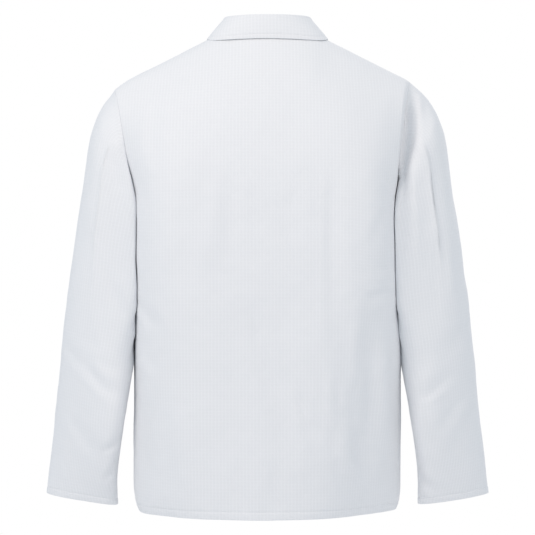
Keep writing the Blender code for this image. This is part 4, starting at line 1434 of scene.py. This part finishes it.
def make_collar(cloth, stitching):
    """The stand, upright from the neckline to the fold, and the fall turned down over it."""
    turns = collar_turns(cloth)
    drawn = turns * (180 - math.degrees(COLLAR_END / FOLD_HALF_WIDTH)) / 180
    folds = fold_line(drawn)
    necks = neck_edge(drawn)
    run = unit(np.gradient(folds, axis=0))
    out = unit(np.cross((0, 0, 1), run))
    up = np.cross(run, out)

    shares = np.linspace(0, 1, STAND_ROWS)[None, :, None]
    start = necks + unit(folds - necks) * STAND_GAP
    grid = (start[:, None] * shares + folds[:, None] * (1 - shares))[::-1]
    flat = sleeve_flat(grid, len(turns) // 2)
    stack = stacked(grid, flat, cloth.collar_thickness)
    piece = shell("collar_stand_cloth", stack)
    declare(piece)

    wall = cloth.collar_thickness
    centre = folds + out * (ROLL_RADIUS - WALL) + up * (SEAM_GAP + STRIP)
    rows = [folds - out * WALL + up * 2 * SEAM_GAP]
    for degrees in np.linspace(180, 0, ROLL_ROWS):
        angle = math.radians(degrees)
        rows.append(centre + (out * math.cos(angle) + up * math.sin(angle)) * ROLL_RADIUS)
    top = rows[-1]
    edge = fall_edge(turns)
    length = np.linalg.norm(edge - top, axis=1)
    upper = np.linspace(0, 1, FALL_ROWS + 1)[1:]
    stations = [share * (1 - FALL_MARKS[-1] / length) for share in upper]
    stations += [1 - mark / length for mark in FALL_MARKS[-2::-1]]
    for station in stations:
        station = station[:, None]
        bow = out * cloth.fall_bow * 4 * station * (1 - station)
        rows.append(top + (edge - top) * station + bow)
    grid = np.stack(rows, axis=1)[::-1]
    normals = normals_of(grid)
    flat = sleeve_flat(grid, len(turns) // 2)
    up_edge = arc(grid, 1)
    distance = up_edge[:, -1:] - up_edge
    across = arc(grid, 0)
    ends = np.minimum(across, across[-1:] - across)
    near = np.minimum(distance, ends)
    nip = np.exp(-((near - FALL_MARKS[FALL_STITCH]) / FALL_NIP_WIDTH) ** 2)
    relief = -cloth.hem_rise * NIP_DEPTH * nip
    relief += cloth.unevenness * FALL_RIPPLE_SHARE * ripple(grid, SEEDS["collar"], FALL_RIPPLE)
    grid = grid + normals * relief[..., None]
    normals = normals_of(grid)
    stitch_row = len(rows) - 1 - FALL_STITCH
    along = slice(FALL_STITCH, -FALL_STITCH)
    lines = [(grid[along, stitch_row], normals[along, stitch_row])]
    down = slice(END_STITCH_START, stitch_row + 1)
    for column in (FALL_STITCH, -1 - FALL_STITCH):
        lines.append((grid[column, down], normals[column, down]))
    stack = stacked(grid, flat, wall)
    piece = shell("collar_fall_cloth", stack)
    stitches = sew("collar_stitches", lines, stitching)
    declare(piece)


# --- Buttons ------------------------------------------------------------------------------------


def button_frame(column, normals, number):
    """Where a button sits on the front's centre line: its seat and its three ways."""
    z = FIRST_BUTTON - BUTTON_STEP * number
    order = np.argsort(column[:, 2])
    heights = column[order, 2]
    seat = np.array([np.interp(z, heights, column[order, axis]) for axis in range(3)])
    normal = unit(np.array([np.interp(z, heights, normals[order, axis]) for axis in range(3)]))
    across = unit(np.cross((0.0, 0.0, 1.0), normal))
    return seat, across, np.cross(normal, across), normal


# A button's rim, as a radius and a height from its seat, its holes, and the thread that holds it
BUTTON_PROFILE = (
    (0.0066, 0.0020), (0.0069, 0.0025), (0.0073, 0.00285), (0.0078, 0.0030), (0.0082, 0.0028),
    (0.0085, 0.0022), (0.0085, 0.0009), (0.0082, 0.0003), (0.0077, 0.0000), (0.0066, 0.0000),
)
HOLE_RADIUS = 0.00095
HOLE_OFFSET = 0.00155
HOLE_FLARE = 1.2
HOLE_LEVELS = ((0.0018, 0.0020), (0.0002, 0.0))
BUTTON_SIDES = 64
HOLE_SIDES = 16
THREAD_LEVEL = 0.0021
THREAD_OFFSETS = (-0.00028, 0.0, 0.00028)
THREAD_MARK = 0.0001
HOLE_HALF_LENGTH = 0.0105
HOLE_MARKS = 15
HOLE_SIDE = 0.0010
BUTTONHOLE_SEWING = {"pitch": 0.00048, "length": 0.0017, "thread": 0.00024, "turn": math.pi / 2}
BUTTON_SEWING = {"pitch": 0.01, "length": 2.9 * HOLE_OFFSET, "thread": 0.00022}


def button_mesh(name, seat, across, along, normal):
    """A four-hole button with a raised rim: a drilled plate, and a turned rim round it."""
    made = bmesh.new()

    def ring(radius, height, centre=(0.0, 0.0), sides=BUTTON_SIDES):
        loop = []
        for i in range(sides):
            angle = 2 * math.pi * i / sides
            x = centre[0] + radius * math.cos(angle)
            y = centre[1] + radius * math.sin(angle)
            loop.append(made.verts.new(seat + across * x + along * y + normal * height))
        return loop

    def join(lower, upper):
        for i in range(len(lower)):
            after = (i + 1) % len(lower)
            made.faces.new((lower[i], lower[after], upper[after], upper[i]))

    rims = [ring(radius, height) for radius, height in BUTTON_PROFILE]
    for lower, upper in zip(rims[:-1], rims[1:]):
        join(lower, upper)
    centres = [(x * HOLE_OFFSET, y * HOLE_OFFSET) for x in (-1, 1) for y in (-1, 1)]
    bores = []
    for rim, (deep_level, mouth_level) in zip((rims[0], rims[-1]), HOLE_LEVELS):
        holes = []
        for centre in centres:
            deep = ring(HOLE_RADIUS, deep_level, centre, HOLE_SIDES)
            mouth = ring(HOLE_RADIUS * HOLE_FLARE, mouth_level, centre, HOLE_SIDES)
            join(deep, mouth)
            holes.append((deep, mouth))
        edges = []
        for loop in [rim] + [mouth for _, mouth in holes]:
            for i in range(len(loop)):
                pair = (loop[i], loop[(i + 1) % len(loop)])
                edges.append(made.edges.get(pair) or made.edges.new(pair))
        bmesh.ops.triangle_fill(made, edges=edges, use_beauty=True)
        bores.append([deep for deep, _ in holes])
    for upper, lower in zip(*bores):
        join(upper, lower)
    bmesh.ops.recalc_face_normals(made, faces=made.faces)
    mesh = bpy.data.meshes.new(name)
    made.to_mesh(mesh)
    made.free()
    mesh.shade_smooth()
    return mesh


def make_buttons(column, normals, stitching):
    """The five buttons with their thread, each over its sewn buttonhole."""
    buttons = bpy.context.scene.jacket_buttons
    holes, bars, pieces = [], [], []
    for number in range(BUTTONS):
        seat, across, along, normal = button_frame(column, normals, number)
        seat = seat + normal * buttons.lift
        node = f"button_{number + 1}"
        piece = placed(node + "_sewn", button_mesh(node, seat, across, along, normal),
                       material_of("button_plastic"))
        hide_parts(node)
        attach(piece, "root")
        for x in (-1, 1):
            middle = seat + across * x * HOLE_OFFSET + normal * THREAD_LEVEL
            for offset in THREAD_OFFSETS:
                shifted = middle + across * offset
                ends = [shifted - along * THREAD_MARK, shifted + along * THREAD_MARK]
                bars.append((ends, [normal, normal]))
        for x in (-1, 1):
            line, ups = [], []
            for z in np.linspace(-HOLE_HALF_LENGTH, HOLE_HALF_LENGTH, HOLE_MARKS):
                place = button_frame(column, normals, number + z / BUTTON_STEP)
                line.append(place[0] + place[1] * x * HOLE_SIDE)
                ups.append(place[3])
            holes.append((line, ups))
    pieces.append(sew("buttonhole_stitches", holes, stitching, **BUTTONHOLE_SEWING))
    pieces.append(sew("button_threads", bars, stitching, **BUTTON_SEWING))
    return pieces


# --- Stage --------------------------------------------------------------------------------------


# The lamps face a point of the jacket from one distance, turned and raised about it in degrees.
LAMP_SIZE = 1.3
LAMP_DISTANCE = 2.4
LIT_PLACE = mathutils.Vector((0.0, 0.0, -0.35))
SENSOR_WIDTH = 36.0


def make_stage(stage):
    """The floor, the soft lights and the camera."""
    scene = bpy.context.scene
    scene.view_settings.view_transform = "Standard"
    made = bmesh.new()
    bmesh.ops.create_grid(made, x_segments=12, y_segments=12, size=stage.floor_size / 2)
    bmesh.ops.translate(made, verts=made.verts, vec=(0.0, 0.0, stage.floor_level))
    mesh = bpy.data.meshes.new("floor")
    made.to_mesh(mesh)
    made.free()
    placed("floor", mesh, material_of("pale_floor"))

    world = bpy.data.worlds.new("pale_studio")
    world.use_nodes = True
    scene.world = world
    nodes = Nodes(world.node_tree)
    seen = nodes.add("ShaderNodeLightPath").outputs["Is Camera Ray"]
    tint = (*stage.fill_colour, 1.0)
    fill = nodes.add("ShaderNodeBackground", {}, {"Color": tint, "Strength": stage.fill})
    plain = nodes.add("ShaderNodeBackground", {}, {"Color": (1.0, 1.0, 1.0, 1.0), "Strength": 1.0})
    mix = nodes.add("ShaderNodeMixShader", {}, {0: seen, 1: fill.outputs[0], 2: plain.outputs[0]})
    nodes.add("ShaderNodeOutputWorld", {}, {"Surface": mix.outputs[0]})

    lamps = (
        ("key_light", 40, 35, stage.key, stage.key_colour),
        ("side_light", -40, 35, stage.side, stage.side_colour),
        ("front_light", -155, 30, stage.front, stage.key_colour),
    )
    for name, turn, rise, power, tint in lamps:
        data = bpy.data.lights.new(name, "AREA")
        data.energy = power
        data.color = tint
        data.size = LAMP_SIZE
        lamp = bpy.data.objects.new(name, data)
        scene.collection.objects.link(lamp)
        away = mathutils.Euler((math.radians(rise), 0.0, -math.radians(turn))).to_matrix()
        away = away @ mathutils.Vector((0.0, 1.0, 0.0))
        lamp.location = LIT_PLACE + away * LAMP_DISTANCE
        lamp.rotation_euler = (-away).to_track_quat("-Z", "Y").to_euler()

    data = bpy.data.cameras.new("camera")
    data.lens = stage.lens
    data.sensor_width = SENSOR_WIDTH
    camera = bpy.data.objects.new("camera", data)
    scene.collection.objects.link(camera)
    camera.location = (0.0, stage.camera_distance, stage.camera_level)
    camera.rotation_euler = (math.radians(90), 0.0, math.radians(180))
    scene.camera = camera


# --- Settings, operators and panel --------------------------------------------------------------


def length(name, description, default, **more):
    """A length that a user may change, in metres."""
    return FloatProperty(name=name, description=description, default=default, unit="LENGTH",
                         precision=5, **more)


def number(name, description, default, **more):
    return FloatProperty(name=name, description=description, default=default, min=0.0, **more)


def colour(name, description, default):
    return FloatVectorProperty(name=name, description=description, default=default, subtype="COLOR",
                               min=0.0, max=1.0)


class JacketCloth(PropertyGroup):
    """Sizes and colour of the cloth."""

    cell: length("Cell", "Spacing of the cloth's points", 0.0036)
    thickness: length("Thickness", "One layer of cloth", 0.0006)
    hem_thickness: length("Hem thickness", "The three layers of a turned hem", 0.0017)
    band_thickness: length("Band thickness", "The layers of a front's band", 0.0014)
    collar_thickness: length("Collar thickness", "The two layers of the collar", 0.0013)
    hem_height: length("Hem height", "From the lower edge to the hem's stitches", 0.0105)
    cuff_height: length("Cuff hem height", "From a cuff's edge to its stitches", 0.0095)
    hem_rise: length("Hem rise", "How far a hem stands out from the cloth above it", 0.00045)
    seam_radius: length("Seam radius", "How tightly an edge turns in at a seam", 0.0009)
    seam_allowance: length("Seam allowance", "Cloth turned in beyond a seam", 0.006)
    fall_bow: length("Collar bow", "How far the collar's fall bows out", 0.001)
    unevenness: length("Unevenness", "Soft random ups and downs of the cloth", 0.0005)
    check: length("Check", "One square of the woven check", 0.005)
    thread: length("Thread spacing", "Spacing of the woven threads", 0.0005)
    warp_contrast: number("Upright lines", "How much lighter the check's upright lines are", 0.35)
    weft_contrast: number("Level lines", "How much lighter the check's level lines are", 0.15)
    roughness: number("Roughness", "How matt the cloth is", 0.9, max=1.0)
    colour: colour("Colour", "The cloth's white", (0.83, 0.845, 0.865))


class JacketStitching(PropertyGroup):
    """Sizes and colour of the stitches."""

    pitch: length("Pitch", "From one stitch to the next", 0.0033)
    length: length("Stitch length", "Length of one stitch", 0.0026)
    thread: length("Thread", "Half the thickness of the thread", 0.00018)
    colour: colour("Colour", "The thread's white", (0.82, 0.83, 0.84))


class JacketButtons(PropertyGroup):
    """Finish of the buttons."""

    lift: length("Lift", "How far a button lies off the cloth", 0.0003)
    roughness: number("Roughness", "How matt the buttons are", 0.32, max=1.0)
    colour: colour("Colour", "The buttons' white", (0.84, 0.845, 0.85))


class JacketStage(PropertyGroup):
    """The studio around the jacket."""

    floor_level: length("Floor level", "Height of the floor", -1.0)
    floor_size: length("Floor size", "Width of the floor", 3.4)
    floor_colour: colour("Floor colour", "The floor's pale grey", (0.86, 0.86, 0.87))
    fill: number("Fill", "Brightness of the light from all round", 0.72)
    fill_colour: colour("Fill colour", "Colour of the light from all round", (0.828, 0.92, 1.0))
    key: number("Key light", "Power of the main light, in watts", 18.0)
    key_colour: colour("Key colour", "Colour of the main light", (1.0, 0.85, 0.755))
    side: number("Side light", "Power of the light from the right, in watts", 9.1)
    side_colour: colour("Side colour", "Colour of the light from the right", (1.0, 0.79, 0.66))
    front: number("Front light", "Power of the light on the hidden front, in watts", 15.0)
    lens: number("Lens", "The camera's focal length in millimetres", 134.6)
    camera_distance: length("Camera distance", "How far behind the jacket the camera stands", 3.0)
    camera_level: length("Camera level", "Height of the camera", -0.338)


def settings():
    """The settings that every cloth piece needs."""
    scene = bpy.context.scene
    return scene.jacket_cloth, scene.jacket_stitching


class JACKET_OT_stage(Operator):
    """Set up the floor, the lights and the camera"""

    bl_idname = "jacket.stage"
    bl_label = "Stage"

    def execute(self, context):
        make_stage(context.scene.jacket_stage)
        return {"FINISHED"}


class JACKET_OT_back(Operator):
    """Make the back, with its stitched hem"""

    bl_idname = "jacket.back"
    bl_label = "Back"

    def execute(self, context):
        make_back(*settings())
        return {"FINISHED"}


class JACKET_OT_sleeves(Operator):
    """Make the two sleeves, with their stitched cuff hems"""

    bl_idname = "jacket.sleeves"
    bl_label = "Sleeves"

    def execute(self, context):
        for side in (1, -1):
            make_sleeve(side, *settings())
        return {"FINISHED"}


class JACKET_OT_fronts(Operator):
    """Make the two fronts, with their bands, buttonholes and buttons"""

    bl_idname = "jacket.fronts"
    bl_label = "Fronts and buttons"

    def execute(self, context):
        for side in (1, -1):
            make_front(side, *settings())
        return {"FINISHED"}


class JACKET_OT_collar(Operator):
    """Make the collar's stand and its turned-down fall"""

    bl_idname = "jacket.collar"
    bl_label = "Collar"

    def execute(self, context):
        make_collar(*settings())
        return {"FINISHED"}


class JACKET_PT_panel(Panel):
    """The jacket's pieces and sizes"""

    bl_label = "Lab jacket"
    bl_idname = "JACKET_PT_panel"
    bl_space_type = "VIEW_3D"
    bl_region_type = "UI"
    bl_category = "Jacket"

    def draw(self, context):
        for operator in OPERATORS:
            self.layout.operator(operator.bl_idname)
        for name in PROPERTIES:
            group = getattr(context.scene, name)
            box = self.layout.box()
            for key in group.__annotations__:
                box.prop(group, key)


PROPERTIES = {
    "jacket_cloth": JacketCloth,
    "jacket_stitching": JacketStitching,
    "jacket_buttons": JacketButtons,
    "jacket_stage": JacketStage,
}
OPERATORS = (JACKET_OT_stage, JACKET_OT_back, JACKET_OT_sleeves, JACKET_OT_fronts, JACKET_OT_collar)
CLASSES = (*PROPERTIES.values(), *OPERATORS, JACKET_PT_panel)


def register():
    for made in CLASSES:
        bpy.utils.register_class(made)
    for name, group in PROPERTIES.items():
        setattr(bpy.types.Scene, name, PointerProperty(type=group))


def unregister():
    for name in PROPERTIES:
        delattr(bpy.types.Scene, name)
    for made in reversed(CLASSES):
        bpy.utils.unregister_class(made)


def plain(box):
    return [[float(value) for value in corner] for corner in box]


def main():
    register()
    bpy.ops.jacket.stage()
    bpy.ops.jacket.back()
    bpy.ops.jacket.sleeves()
    bpy.ops.jacket.fronts()
    bpy.ops.jacket.collar()


if __name__ == "__main__":
    main()
